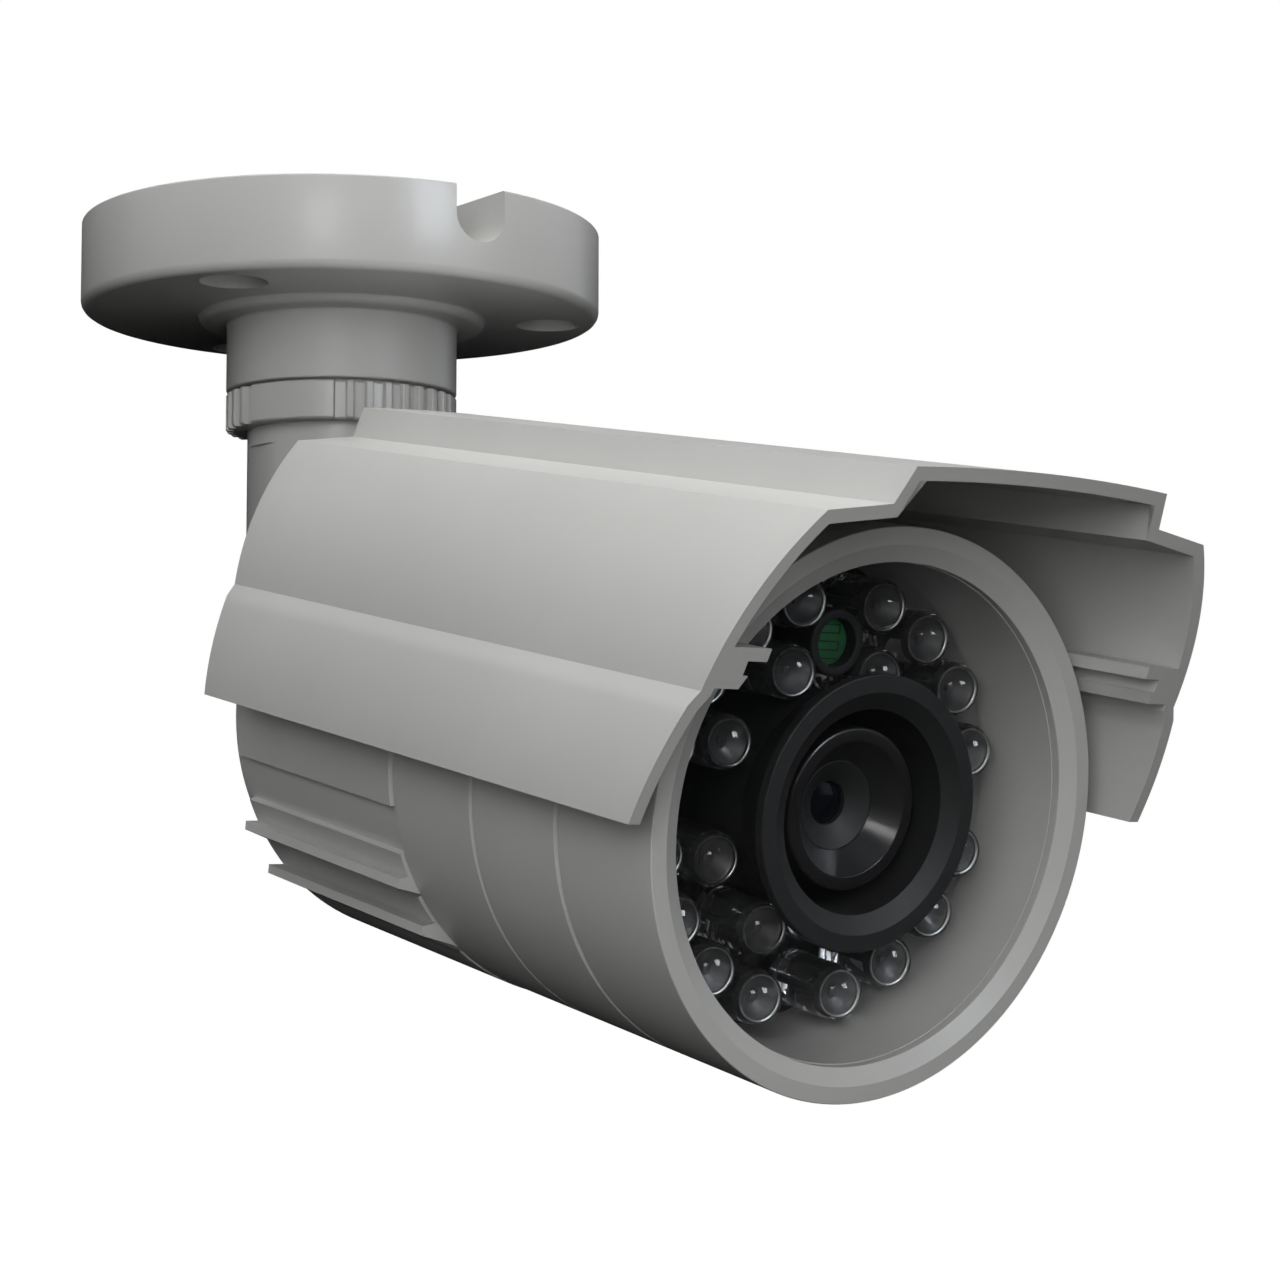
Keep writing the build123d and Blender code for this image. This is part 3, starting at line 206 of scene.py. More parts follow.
class LampSizes(bpy.types.PropertyGroup):
    """Sizes of the infrared lamps, their board and the light sensor."""
    radius: size("Lamp radius", "Radius of a lamp", 2.5)
    flange: size("Lamp flange", "Radius of a lamp's flange", 2.65)
    tip: size("Lamp tip", "Place of a lamp's tip", 7.0)
    base: size("Lamp base", "Place of a lamp's base", 15.6)
    outer_circle: size("Outer circle", "Radius of the outer circle of lamps", 18.05)
    inner_circle: size("Inner circle", "Radius of the inner circle of lamps", 12.4)
    cup_radius: size("Cup radius", "Radius of the reflector cup inside a lamp", 1.45)
    cup_place: size("Cup place", "Distance of the cup's rim behind the tip", 2.3)
    post: size("Post width", "Width of the posts inside a lamp", 0.5)
    board: size("Board", "Place of the lamp board's front face", 17.6)
    board_thick: size("Board thickness", "Thickness of the lamp board", 1.6)
    board_radius: size("Board radius", "Radius of the lamp board", 22.38)
    board_bore: size("Board bore", "Radius of the lamp board's middle hole", 9.9)
    sensor_height: size("Sensor height", "Height of the light sensor above the lens axis", 14.0)
    sensor_radius: size("Sensor tube radius", "Outer radius of the sensor's tube", 3.0)
    sensor_front: size("Sensor tube front", "Place of the sensor tube's front", 9.1)
    cell_radius: size("Cell radius", "Radius of the light sensitive cell", 2.1)
    cell_front: size("Cell front", "Place of the cell's face", 10.3)
    track: size("Track width", "Width of the cell's winding track", 0.13)


class LensSizes(bpy.types.PropertyGroup):
    """Sizes of the lens, its hood and its barrel."""
    hood_radius: size("Hood radius", "Outer radius of the hood's front", 12.15)
    hood_face: size("Hood face", "Inner radius of the hood's flat front", 10.6)
    hood_bore: size("Hood bore", "Radius of the hood's bore", 9.0)
    hood_outer: size("Hood root", "Outer radius of the hood's rear part", 9.6)
    hood_front: size("Hood front", "Place of the hood's front", 2.25)
    hood_cone: size("Hood cone end", "Place where the hood's outer cone ends", 8.0)
    hood_end: size("Hood end", "Place of the hood's end", 20.0)
    head_radius: size("Head radius", "Radius of the lens head", 7.2)
    front: size("Lens front", "Place of the lens's front", 4.75)
    mouth: size("Mouth radius", "Radius of the lens's mouth", 6.0)
    step: size("Step radius", "Radius at the foot of the mouth's cone", 4.0)
    step_place: size("Step place", "Place of the cone's foot", 6.8)
    eye: size("Eye radius", "Radius of the lens's eye", 1.95)
    eye_place: size("Eye place", "Place of the eye", 8.0)
    thread: size("Barrel radius", "Radius of the barrel's thread", 6.0)
    end: size("Barrel end", "Place of the barrel's end", 22.0)
    bore: size("Barrel bore", "Inner radius of the barrel", 4.7)


class FinishColours(bpy.types.PropertyGroup):
    """Colours of the painted, moulded and metal finishes."""
    paint: tint("Paint", "Satin grey paint of the housing, shield and bracket", (0.520, 0.518, 0.508))
    black_plastic: tint("Black plastic", "Matt black moulding of the hood", (0.012, 0.012, 0.012))
    black_metal: tint("Black metal", "Black coating of the lens barrel", (0.016, 0.016, 0.017))
    cell: tint("Sensor cell", "Green of the light sensitive cell", (0.020, 0.155, 0.052))
    board: tint("Lamp board", "Black lacquer of the lamp board", (0.008, 0.008, 0.009))


class StageSettings(bpy.types.PropertyGroup):
    """Place of the viewpoint and strength of the studio lights."""
    focal: share("Focal length", "Focal length in millimetres", 72.13, 400.0)
    eye: bpy.props.FloatVectorProperty(name="Viewpoint", description="Place of the viewpoint",
                                       default=(-0.15013, -0.25238, -0.06493), size=3,
                                       unit="LENGTH", subtype="TRANSLATION")
    heading: turn("Heading", "Turn of the view about the vertical", -37.44)
    pitch: turn("Pitch", "Tilt of the view up from straight down", 93.59)
    roll: turn("Roll", "Turn of the view about its own axis", 0.1)
    floor_drop: size("Floor drop", "Depth of the floor below the mounting face", 600.0)
    top: share("Top light", "Power of the overhead softbox, in watts", 7.0, 500.0)
    sky: share("Wide top light", "Power of the wide overhead softbox, in watts", 9.2, 500.0)
    left: share("Left light", "Power of the left front softbox, in watts", 0.56, 500.0)
    side: share("Side light", "Power of the far left softbox, in watts", 0.28, 500.0)
    front: share("Front light", "Power of the front softbox, in watts", 0.28, 500.0)
    right: share("Right light", "Power of the right softbox, in watts", 0.8, 500.0)
    edge: share("Edge light", "Power of the right edge softbox, in watts", 1.5, 500.0)
    back: share("Back light", "Power of the rear softbox, in watts", 0.9, 500.0)
    streak: share("Streak light", "Power of the tall narrow light, in watts", 0.05, 500.0)
    sparkle: share("Window light", "Power of the window light that only gloss shows, in watts", 2.0, 500.0)
    glint: share("Glint light", "Power of the small light that the lens mouth mirrors, in watts", 0.4, 500.0)


def sizes(group):
    """The scene's property group of that name."""
    return getattr(bpy.context.scene, "security_camera_" + group)


# ---------------------------------------------------------------- outlines and surfaces
def rounded(corners, steps=5, closed=True):
    """Outline through corners (a, b, radius), each replaced by an arc that touches both of its sides.

    The arc's centre lies on the corner's bisector, radius / sin(half angle) away, and the arc's points are
    the centre plus the spherical mean of the two spokes to the touching points.
    """
    points = np.array([corner[:2] for corner in corners], float)
    outline = []
    for index, corner in enumerate(corners):
        here, radius = points[index], corner[2] if len(corner) > 2 else 0.0
        ends = not closed and index in (0, len(corners) - 1)
        if radius == 0.0 or ends:
            outline.append(here[None])
            continue
        before = points[index - 1] - here
        after = points[(index + 1) % len(points)] - here
        before, after = before / np.hypot(*before), after / np.hypot(*after)
        half = np.arccos(np.clip(before @ after, -1, 1)) / 2
        bisector = (before + after) / np.hypot(*(before + after))
        centre = here + bisector * radius / np.sin(half)
        first = here + before * radius / np.tan(half) - centre
        last = here + after * radius / np.tan(half) - centre
        spread = pi - 2 * half
        t = np.linspace(0, 1, steps)[:, None]
        spokes = np.sin((1 - t) * spread) * first + np.sin(t * spread) * last
        outline.append(centre + spokes / np.sin(spread))
    return np.concatenate(outline)


def arc_through(start, middle, end, steps):
    """Points on the circle through three points: the centre is equally far from all three, and the
    angle runs evenly from the first to the last."""
    start, middle, end = (np.array(point, float) for point in (start, middle, end))
    rows = 2 * np.array([middle - start, end - start])
    centre = np.linalg.solve(rows, [middle @ middle - start @ start, end @ end - start @ start])
    angles = np.unwrap([np.arctan2(*(point - centre)[::-1]) for point in (start, middle, end)])
    angle = np.linspace(angles[0], angles[2], steps)
    radius = np.hypot(*(start - centre))
    return centre + radius * np.stack([np.cos(angle), np.sin(angle)], 1)


def grid_faces(rows, columns, close_rows, close_columns):
    """Quads between neighbouring points of a grid, wrapping round in a closed direction."""
    i, j = np.meshgrid(np.arange(rows - (not close_rows)), np.arange(columns - (not close_columns)),
                       indexing="ij")
    i_next, j_next = (i + 1) % rows, (j + 1) % columns
    return np.stack([i * columns + j, i_next * columns + j, i_next * columns + j_next,
                     i * columns + j_next], -1).reshape(-1, 4)


def revolved(profile, segments=144, closed=True, along="lens", centre=(0.0, 0.0)):
    """Surface of revolution: profile point (r, a) goes to r cos t, r sin t across and a along the axis."""
    t = np.linspace(0, 2 * pi, segments, endpoint=False)
    r, a = profile[:, 0, None], profile[:, 1, None]
    u, v = r * np.cos(t) + centre[0], r * np.sin(t) + centre[1]
    a = np.broadcast_to(a, u.shape)
    points = np.stack([u, a, v] if along == "lens" else [u, v, a], -1).reshape(-1, 3)
    return points, grid_faces(len(profile), segments, closed, True).tolist()


def swept(outline, starts, end):
    """Prism: a closed outline (x, z) carried along y from each point's own start to one end, with caps."""
    count = len(outline)
    near = np.stack([outline[:, 0], np.broadcast_to(starts, count), outline[:, 1]], -1)
    far = np.stack([outline[:, 0], np.full(count, end), outline[:, 1]], -1)
    faces = grid_faces(2, count, False, True).tolist()
    return np.concatenate([near, far]), faces + [list(range(count)), list(range(count, 2 * count))]


def merged(*shapes):
    """Several shapes as one: their points in a row, and their faces counted on."""
    points, faces, start = [], [], 0
    for shape_points, shape_faces in shapes:
        points.append(shape_points)
        faces += [[index + start for index in face] for face in shape_faces]
        start += len(shape_points)
    return np.concatenate(points), faces


def repeated(shape, offsets):
    """Copies of a shape moved by each offset, as one."""
    points, faces = shape
    moved = (points[None] + np.array(offsets, float)[:, None]).reshape(-1, 3)
    starts = [copy * len(points) for copy in range(len(offsets))]
    loops = [[index + start for index in face] for start in starts for face in faces]
    return moved, loops


def brick(width, depth, height, centre):
    """Closed block by its sizes along x, y and z and its centre."""
    outline = np.array([(-1, -1), (1, -1), (1, 1), (-1, 1)]) * (width / 2, height / 2)
    return swept(outline + (centre[0], centre[2]), centre[1] - depth / 2, centre[1] + depth / 2)


def rod(radius, start, end, centre=(0.0, 0.0), segments=48, along="lens"):
    """Closed round bar between two places on its axis."""
    profile = np.array([(0, start), (radius, start), (radius, end), (0, end)])
    return revolved(profile, segments, False, along, centre)


# ---------------------------------------------------------------- turning surfaces into pieces
def clean(mesh, distance=1e-7):
    """Joins doubled points and turns every face outwards."""
    work = bmesh.new()
    work.from_mesh(mesh)
    bmesh.ops.remove_doubles(work, verts=work.verts, dist=distance)
    bmesh.ops.dissolve_degenerate(work, dist=distance / 2, edges=work.edges)
    bmesh.ops.recalc_face_normals(work, faces=work.faces)
    work.to_mesh(mesh)
    work.free()


def raw_object(name, shape, in_camera=True):
    """Object at the origin with a closed mesh, in camera axes or in the frame's."""
    points, faces = shape
    if in_camera:
        points = points @ CAMERA_AXES + CAMERA_START
    mesh = bpy.data.meshes.new(name)
    mesh.from_pydata(points.tolist(), [], faces)
    clean(mesh)
    piece = bpy.data.objects.new(name, mesh)
    bpy.context.scene.collection.objects.link(piece)
    return piece


def keep_modifiers(piece):
    """Makes the modified shape the piece's own mesh."""
    bpy.context.view_layer.update()
    mesh = bpy.data.meshes.new_from_object(piece.evaluated_get(bpy.context.evaluated_depsgraph_get()))
    mesh.name = piece.name
    piece.modifiers.clear()
    piece.data = mesh


def carve(piece, *shapes, in_camera=True, operation="DIFFERENCE"):
    """Cuts closed shapes out of a piece, or joins them to it, and keeps the result."""
    cutters = []
    for shape in shapes:
        cutter = raw_object(piece.name + "_cutter", shape, in_camera)
        modifier = piece.modifiers.new("cut", "BOOLEAN")
        modifier.object, modifier.operation, modifier.solver = cutter, operation, "EXACT"
        cutters.append(cutter)
    keep_modifiers(piece)
    for cutter in cutters:
        bpy.data.objects.remove(cutter)


def dress(piece, finish, body, stands_for=(), bevel=0.0, bevel_steps=2, angle=32.0,
          bevel_angle=35.0):
    """Gives a piece its finish, rounded edges, smooth shading and body, and hides the nodes that it stands
    for.
    """
    mesh = piece.data
    mesh.materials.clear()
    mesh.materials.append(finish_of(finish))
    mesh.shade_smooth()
    mesh.set_sharp_from_angle(angle=radians(angle))
    if bevel:
        modifier = piece.modifiers.new("edges", "BEVEL")
        modifier.width, modifier.segments = bevel, bevel_steps
        modifier.limit_method, modifier.angle_limit = "ANGLE", radians(bevel_angle)
        modifier.use_clamp_overlap, modifier.miter_outer = True, "MITER_SHARP"
        modifier.harden_normals = True
    else:
        modifier = piece.modifiers.new("even_normals", "WEIGHTED_NORMAL")
        modifier.keep_sharp = True
    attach(piece, body)
    if stands_for:
        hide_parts(*stands_for)


def finished_copy(node, name, finish, body, bevel):
    """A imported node's own shape, with its loose triangles joined and its edges rounded."""
    mesh = frame["nodes"][node].data.copy()
    mesh.name = name
    for attribute in ("custom_normal", "sharp_face"):
        if attribute in mesh.attributes:
            mesh.attributes.remove(mesh.attributes[attribute])
    piece = bpy.data.objects.new(name, mesh)
    bpy.context.scene.collection.objects.link(piece)
    work = bmesh.new()
    work.from_mesh(mesh)
    bmesh.ops.remove_doubles(work, verts=work.verts, dist=1e-6)
    bmesh.ops.dissolve_limit(work, angle_limit=radians(0.3), verts=work.verts, edges=work.edges)
    work.to_mesh(mesh)
    work.free()
    dress(piece, finish, body, (node,), bevel=bevel)


def finish_nodes(finish, *names):
    """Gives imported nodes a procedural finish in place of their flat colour."""
    for name in names:
        for holder in frame["nodes"][name].material_slots:
            holder.material = finish_of(finish)


# ---------------------------------------------------------------- finishes
class Link:
    """A shader socket in Python sums: each operator adds the Math node that it stands for."""

    def __init__(self, finish, socket):
        self.finish, self.socket = finish, socket

    def sum(self, operation, first, second):
        """One Math node on two values."""
        return self.finish.node("ShaderNodeMath", {"operation": operation}, {0: first, 1: second})

    def __add__(self, other):
        return self.sum("ADD", self, other)

    __radd__ = __add__

    def __mul__(self, other):
        return self.sum("MULTIPLY", self, other)

    __rmul__ = __mul__

    def __gt__(self, other):
        return self.sum("GREATER_THAN", self, other)


class Finish:
    """A procedural material being put together."""

    def __init__(self, name):
        self.material = bpy.data.materials.new(name)
        self.material.use_nodes = True
        self.nodes, self.links = self.material.node_tree.nodes, self.material.node_tree.links
        self.shader = next(node for node in self.nodes if node.type == "BSDF_PRINCIPLED")
        self.place = self.node("ShaderNodeTexCoord", {}, {}, "Object")

    def node(self, kind, settings, values, output=0):
        """Adds a node with its settings, then the values or links of its sockets."""
        made = self.nodes.new(kind)
        for key, value in settings.items():
            setattr(made, key, value)
        self.fill(made, values)
        return Link(self, made.outputs[output])

    def fill(self, node, values):
        """Sets or links a node's sockets."""
        for key, value in values.items():
            if isinstance(value, Link):
                self.links.new(value.socket, node.inputs[key])
            else:
                node.inputs[key].default_value = value

    def noise(self, grain, detail=2.0, rough=0.5, stretch=None):
        """Soft noise whose features are about as large as grain, in metres."""
        place = self.place
        if stretch:
            place = self.node("ShaderNodeMapping", {}, {"Vector": place, "Scale": stretch})
        return self.node("ShaderNodeTexNoise", {}, {"Vector": place, "Scale": 1 / grain, "Detail": detail,
                                                    "Roughness": rough})

    def specks(self, grain):
        """Distance to scattered points about a grain apart."""
        return self.node("ShaderNodeTexVoronoi", {}, {"Vector": self.place, "Scale": 1 / grain})

    def blend(self, factor, low, high):
        """Colour between two colours."""
        low, high = (c if isinstance(c, Link) else (*c, 1.0) for c in (low, high))
        return self.node("ShaderNodeMix", {"data_type": "RGBA"}, {0: factor, 6: low, 7: high}, 2)

    def ramp(self, value, low, high):
        """A value stretched so that low becomes 0 and high becomes 1, and held there."""
        return self.node("ShaderNodeMapRange", {}, {0: value, 1: low, 2: high, 3: 0.0, 4: 1.0})

    def bump(self, height, depth, strength):
        """Normal bent by a height from 0 to 1 that stands for a depth in metres."""
        return self.node("ShaderNodeBump", {}, {"Height": height, "Distance": depth, "Strength": strength})

    def shade(self, **values):
        """Sets the shader's sockets and gives the material."""
        self.fill(self.shader, {key.replace("_", " "): value for key, value in values.items()})
        return self.material


def lighter(colour, factor):
    """A colour scaled by a factor, held at white."""
    return tuple(min(1.0, channel * factor) for channel in colour)


def painted_housing(make):
    """Satin powder paint: fine orange peel, soft mottling and a slightly uneven sheen."""
    paint = tuple(sizes("colours").paint)
    cloud = make.ramp(make.noise(0.020, 3.0, 0.6), 0.3, 0.7)
    grain = make.noise(0.00042, 3.0, 0.6)
    peel = make.noise(0.0016, 1.0, 0.4)
    colour = make.blend(cloud * 0.75 + grain * 0.25, lighter(paint, 0.965), lighter(paint, 1.03))
    rough = 0.34 + cloud * 0.05 + grain * 0.05
    normal = make.bump(peel * 0.7 + grain * 0.3, 0.000012, 0.5)
    return make.shade(Base_Color=colour, Roughness=rough, Normal=normal, IOR=1.45, Coat_Weight=0.12,
                      Coat_Roughness=0.12)


def black_nylon(make):
    """Matt black moulding with a fine spark-eroded texture."""
    colour = tuple(sizes("colours").black_plastic)
    grain = make.noise(0.00018, 3.0, 0.65)
    cloud = make.noise(0.004, 2.0)
    return make.shade(Base_Color=make.blend(cloud, lighter(colour, 0.8), lighter(colour, 1.35)),
                      Roughness=0.52 + grain * 0.16, Normal=make.bump(grain, 0.00001, 0.6))


def black_anodised(make):
    """Black coated metal with a faint turned grain."""
    colour = tuple(sizes("colours").black_metal)
    grain = make.noise(0.00012, 2.0, 0.6)
    cloud = make.noise(0.003, 2.0)
    return make.shade(Base_Color=make.blend(cloud, lighter(colour, 0.8), lighter(colour, 1.3)),
                      Roughness=0.24 + grain * 0.14, Normal=make.bump(grain, 0.000004, 0.5),
                      Coat_Weight=0.5, Coat_Roughness=0.14)


def window_glass(make):
    """Thin clear window, with a trace of haze."""
    haze = make.noise(0.006, 2.0)
    return make.shade(Base_Color=make.blend(haze, (0.02, 0.022, 0.024), (0.04, 0.042, 0.045)),
                      Roughness=0.03 + haze * 0.03, Alpha=0.03 + haze * 0.03)


def lamp_epoxy(make):
    """Clear smoky cast resin with a very slightly wavy skin."""
    wave = make.noise(0.0015, 1.0)
    return make.shade(Base_Color=make.blend(wave, (0.84, 0.85, 0.86), (0.90, 0.91, 0.92)),
                      Roughness=0.01 + wave * 0.02, Transmission_Weight=0.97, IOR=1.5,
                      Normal=make.bump(wave, 0.00002, 0.3))


def lens_glass(make):
    """Dark coated glass."""
    film = make.noise(0.002, 1.0)
    return make.shade(Base_Color=make.blend(film, (0.004, 0.005, 0.008), (0.008, 0.008, 0.012)),
                      Roughness=0.05 + film * 0.04, IOR=1.3)


def filter_glass(make):
    """Cyan filter glass."""
    film = make.noise(0.002, 1.0)
    return make.shade(Base_Color=make.blend(film, (0.25, 0.45, 0.5), (0.3, 0.5, 0.55)),
                      Roughness=0.04 + film * 0.03, Transmission_Weight=0.8)


def bare_metal(make, colour, rough, grain_size):
    """Metal with fine scratches across and soft stains."""
    grain = make.noise(grain_size, 3.0, 0.6, (1.0, 1.0, 0.2))
    cloud = make.noise(0.004, 2.0)
    return make.shade(Base_Color=make.blend(cloud, lighter(colour, 0.85), lighter(colour, 1.08)),
                      Metallic=1.0, Roughness=rough + grain * 0.16, Normal=make.bump(grain, 0.000004, 0.5))


def steel(make):
    """Zinc plated steel."""
    return bare_metal(make, (0.52, 0.52, 0.51), 0.26, 0.0003)


def brass(make):
    """Turned brass."""
    return bare_metal(make, (0.60, 0.44, 0.20), 0.28, 0.0003)


def tinned_wire(make):
    """Tinned lamp legs and lead frames."""
    return bare_metal(make, (0.62, 0.62, 0.61), 0.22, 0.0002)


def dark_frame(make):
    """Dull dark plating of the lamps' lead frames."""
    grain = make.noise(0.0004, 2.0)
    return make.shade(Base_Color=make.blend(grain, (0.05, 0.05, 0.052), (0.09, 0.09, 0.092)),
                      Metallic=0.6, Roughness=0.38 + grain * 0.14)


def capacitor_can(make):
    """Brushed aluminium can."""
    return bare_metal(make, (0.62, 0.63, 0.65), 0.3, 0.0002)


def moulded(make, colour, rough, grain_size=0.0003):
    """Plain moulded or pressed material with fine grain and soft clouding."""
    grain = make.noise(grain_size, 3.0, 0.6)
    cloud = make.noise(0.005, 2.0)
    return make.shade(Base_Color=make.blend(cloud, lighter(colour, 0.82), lighter(colour, 1.15)),
                      Roughness=rough + grain * 0.14, Normal=make.bump(grain, 0.000008, 0.6))


def rubber(make):
    """Soft black rubber."""
    return moulded(make, (0.016, 0.016, 0.016), 0.6)


def chip_resin(make):
    """Black chip package."""
    return moulded(make, (0.02, 0.02, 0.021), 0.5)


def chip_ceramic(make):
    """Dark ceramic package of the image sensor."""
    return moulded(make, (0.06, 0.055, 0.07), 0.35)


def ivory_nylon(make):
    """Ivory connector nylon."""
    return moulded(make, (0.62, 0.58, 0.48), 0.42)


def ribbon_vinyl(make):
    """Grey ribbon lead."""
    return moulded(make, (0.32, 0.33, 0.35), 0.45)


def lacquered(make, colour):
    """Lacquered board: glossy skin over faint copper tracks, with dust specks."""
    tracks = make.ramp(make.specks(0.0022), 0.42, 0.5)
    dust = make.specks(0.0009) > 0.62
    grain = make.noise(0.0002, 2.0)
    skin = make.blend(tracks, colour, lighter(colour, 2.0))
    return make.shade(Base_Color=make.blend(dust * 0.5, skin, (0.05, 0.05, 0.05)),
                      Roughness=0.52 + grain * 0.2, Normal=make.bump(tracks, 0.00002, 0.6))


def black_board(make):
    """Black lacquered lamp board."""
    return lacquered(make, tuple(sizes("colours").board))


def green_board(make):
    """Green lacquered circuit boards."""
    return lacquered(make, (0.01, 0.09, 0.035))


def sensor_cell(make):
    """Green light sensitive film, faintly grained."""
    colour = tuple(sizes("colours").cell)
    grain = make.noise(0.00015, 2.0, 0.6)
    return make.shade(Base_Color=make.blend(grain, lighter(colour, 0.85), lighter(colour, 1.15)),
                      Roughness=0.4 + grain * 0.2, Normal=make.bump(grain, 0.000006, 0.5))


def track_ink(make):
    """Dark winding track of the sensor cell."""
    return moulded(make, (0.008, 0.03, 0.014), 0.5)


FINISHES = {maker.__name__: maker for maker in (
    painted_housing, black_nylon, black_anodised, window_glass, lamp_epoxy, lens_glass, filter_glass,
    steel, brass, tinned_wire, dark_frame, capacitor_can, rubber, chip_resin, chip_ceramic, ivory_nylon,
    ribbon_vinyl, black_board, green_board, sensor_cell, track_ink)}
MADE_FINISHES = {}


def finish_of(name):
    """The finish of that name, made when it is first asked for."""
    if name not in MADE_FINISHES:
        MADE_FINISHES[name] = FINISHES[name](Finish(name + "_finish"))
    return MADE_FINISHES[name]


# ---------------------------------------------------------------- operators
class PieceOperator:
    """What every operator of this add-on shares."""
    bl_options = {"REGISTER", "UNDO"}


class CAMERA_OT_stage(PieceOperator, bpy.types.Operator):
    """Add the floor, the soft studio lights, the white surroundings and the viewpoint"""
    bl_idname = "security_camera.stage"
    bl_label = "Stage"

    def execute(self, context):
        scene, stage = context.scene, sizes("stage")
        eye = bpy.data.cameras.new("viewpoint")
        eye.lens, eye.sensor_width = stage.focal, 36.0
        eye.clip_start, eye.clip_end = 0.01, 50.0
        viewer = bpy.data.objects.new("viewpoint", eye)
        viewer.location = stage.eye
        viewer.rotation_mode = "QUATERNION"
        heading, pitch, roll = (Matrix.Rotation(angle, 3, axis) for angle, axis in (
            (stage.heading, "Z"), (stage.pitch, "X"), (stage.roll, "Z")))
        viewer.rotation_quaternion = (heading @ pitch @ roll).to_quaternion()
        scene.collection.objects.link(viewer)
        scene.camera = viewer

        surround = bpy.data.worlds.new("white_surround")
        surround.use_nodes = True
        surround.node_tree.nodes["Background"].inputs["Color"].default_value = (1.0, 1.0, 1.0, 1.0)
        surround.cycles_visibility.diffuse = False
        surround.cycles_visibility.glossy = False
        surround.cycles_visibility.transmission = False
        scene.world = surround
        scene.view_settings.view_transform = "Standard"
        self.floor(stage.floor_drop)

        middle, face = Vector((0.0, -0.045, -0.045)), Vector((0.0, -0.10, -0.06))
        warm, cool = (1.0, 0.998, 0.99), (0.93, 0.96, 1.0)
        blue, pale = (0.45, 0.65, 1.0), (0.85, 0.92, 1.0)
        soft_only = ("left_light", "side_light", "front_light")
        gloss_only = ("streak_light", "window_light", "glint_light")
        for name, aim, direction, distance, shape, power, colour in (
                ("top_light", middle, (0.0, 0.0, 1.0), 1.0, (0.7, 0.7), stage.top, warm),
                ("sky_light", middle, (0.0, 0.0, 1.0), 1.0, (1.5, 1.5), stage.sky, warm),
                ("left_light", face, (-0.70, -0.66, 0.34), 0.35, (0.22, 0.22), stage.left, warm),
                ("side_light", face, (-0.90, -0.50, 0.10), 0.40, (0.25, 0.25), stage.side, warm),
                ("front_light", face, (-0.30, -0.90, -0.10), 0.40, (0.30, 0.30), stage.front, warm),
                ("right_light", middle, (0.70, -0.70, 0.30), 1.0, (0.7, 0.7), stage.right, cool),
                ("edge_light", middle, (0.95, -0.10, 0.30), 1.0, (0.7, 0.7), stage.edge, cool),
                ("back_light", middle, (-0.80, 0.40, 0.45), 1.0, (0.7, 0.7), stage.back, cool),
                ("streak_light", middle, (0.365, -0.91, 0.18), 0.9, (0.035, 0.45), stage.streak, blue),
                ("window_light", face, (0.15, -0.90, 0.43), 0.6, (0.20, 0.24), stage.sparkle, pale),
                ("glint_light", face, (-0.70, -0.66, 0.34), 0.5, (0.13, 0.13), stage.glint, warm)):
            lamp = self.softbox(name, aim, direction, distance, shape, power, colour)
            lamp.visible_glossy = name not in soft_only
            lamp.visible_diffuse = name not in gloss_only
        return {"FINISHED"}

    @staticmethod
    def floor(drop):
        """Plain white floor well below the camera, which lights nothing."""
        paper = bpy.data.materials.new("white_paper")
        paper.use_nodes = True
        shader = paper.node_tree.nodes["Principled BSDF"]
        shader.inputs["Base Color"].default_value = (0.9, 0.9, 0.9, 1.0)
        shader.inputs["Emission Color"].default_value = (1.0, 1.0, 1.0, 1.0)
        shader.inputs["Emission Strength"].default_value = 1.0
        shader.inputs["Roughness"].default_value = 1.0
        mesh = bpy.data.meshes.new("floor")
        reach = 12.0
        corners = [(x * reach, y * reach, -drop) for x, y in ((-1, -1), (1, -1), (1, 1), (-1, 1))]
        mesh.from_pydata(corners, [], [(0, 1, 2, 3)])
        mesh.materials.append(paper)
        floor = bpy.data.objects.new("floor", mesh)
        bpy.context.scene.collection.objects.link(floor)
        for ray in ("diffuse", "glossy", "transmission", "shadow"):
            setattr(floor, "visible_" + ray, False)

    @staticmethod
    def softbox(name, middle, direction, distance, shape, power, colour):
        """Rectangular light at a distance from the middle, turned to face it."""
        light = bpy.data.lights.new(name, "AREA")
        light.shape, light.size, light.size_y = "RECTANGLE", *shape
        light.energy, light.color = power, colour
        lamp = bpy.data.objects.new(name, light)
        away = Vector(direction).normalized()
        lamp.location = middle + away * distance
        lamp.rotation_mode = "QUATERNION"
        lamp.rotation_quaternion = away.to_track_quat("Z", "Y")
        lamp.visible_camera = False
        bpy.context.scene.collection.objects.link(lamp)
        return lamp


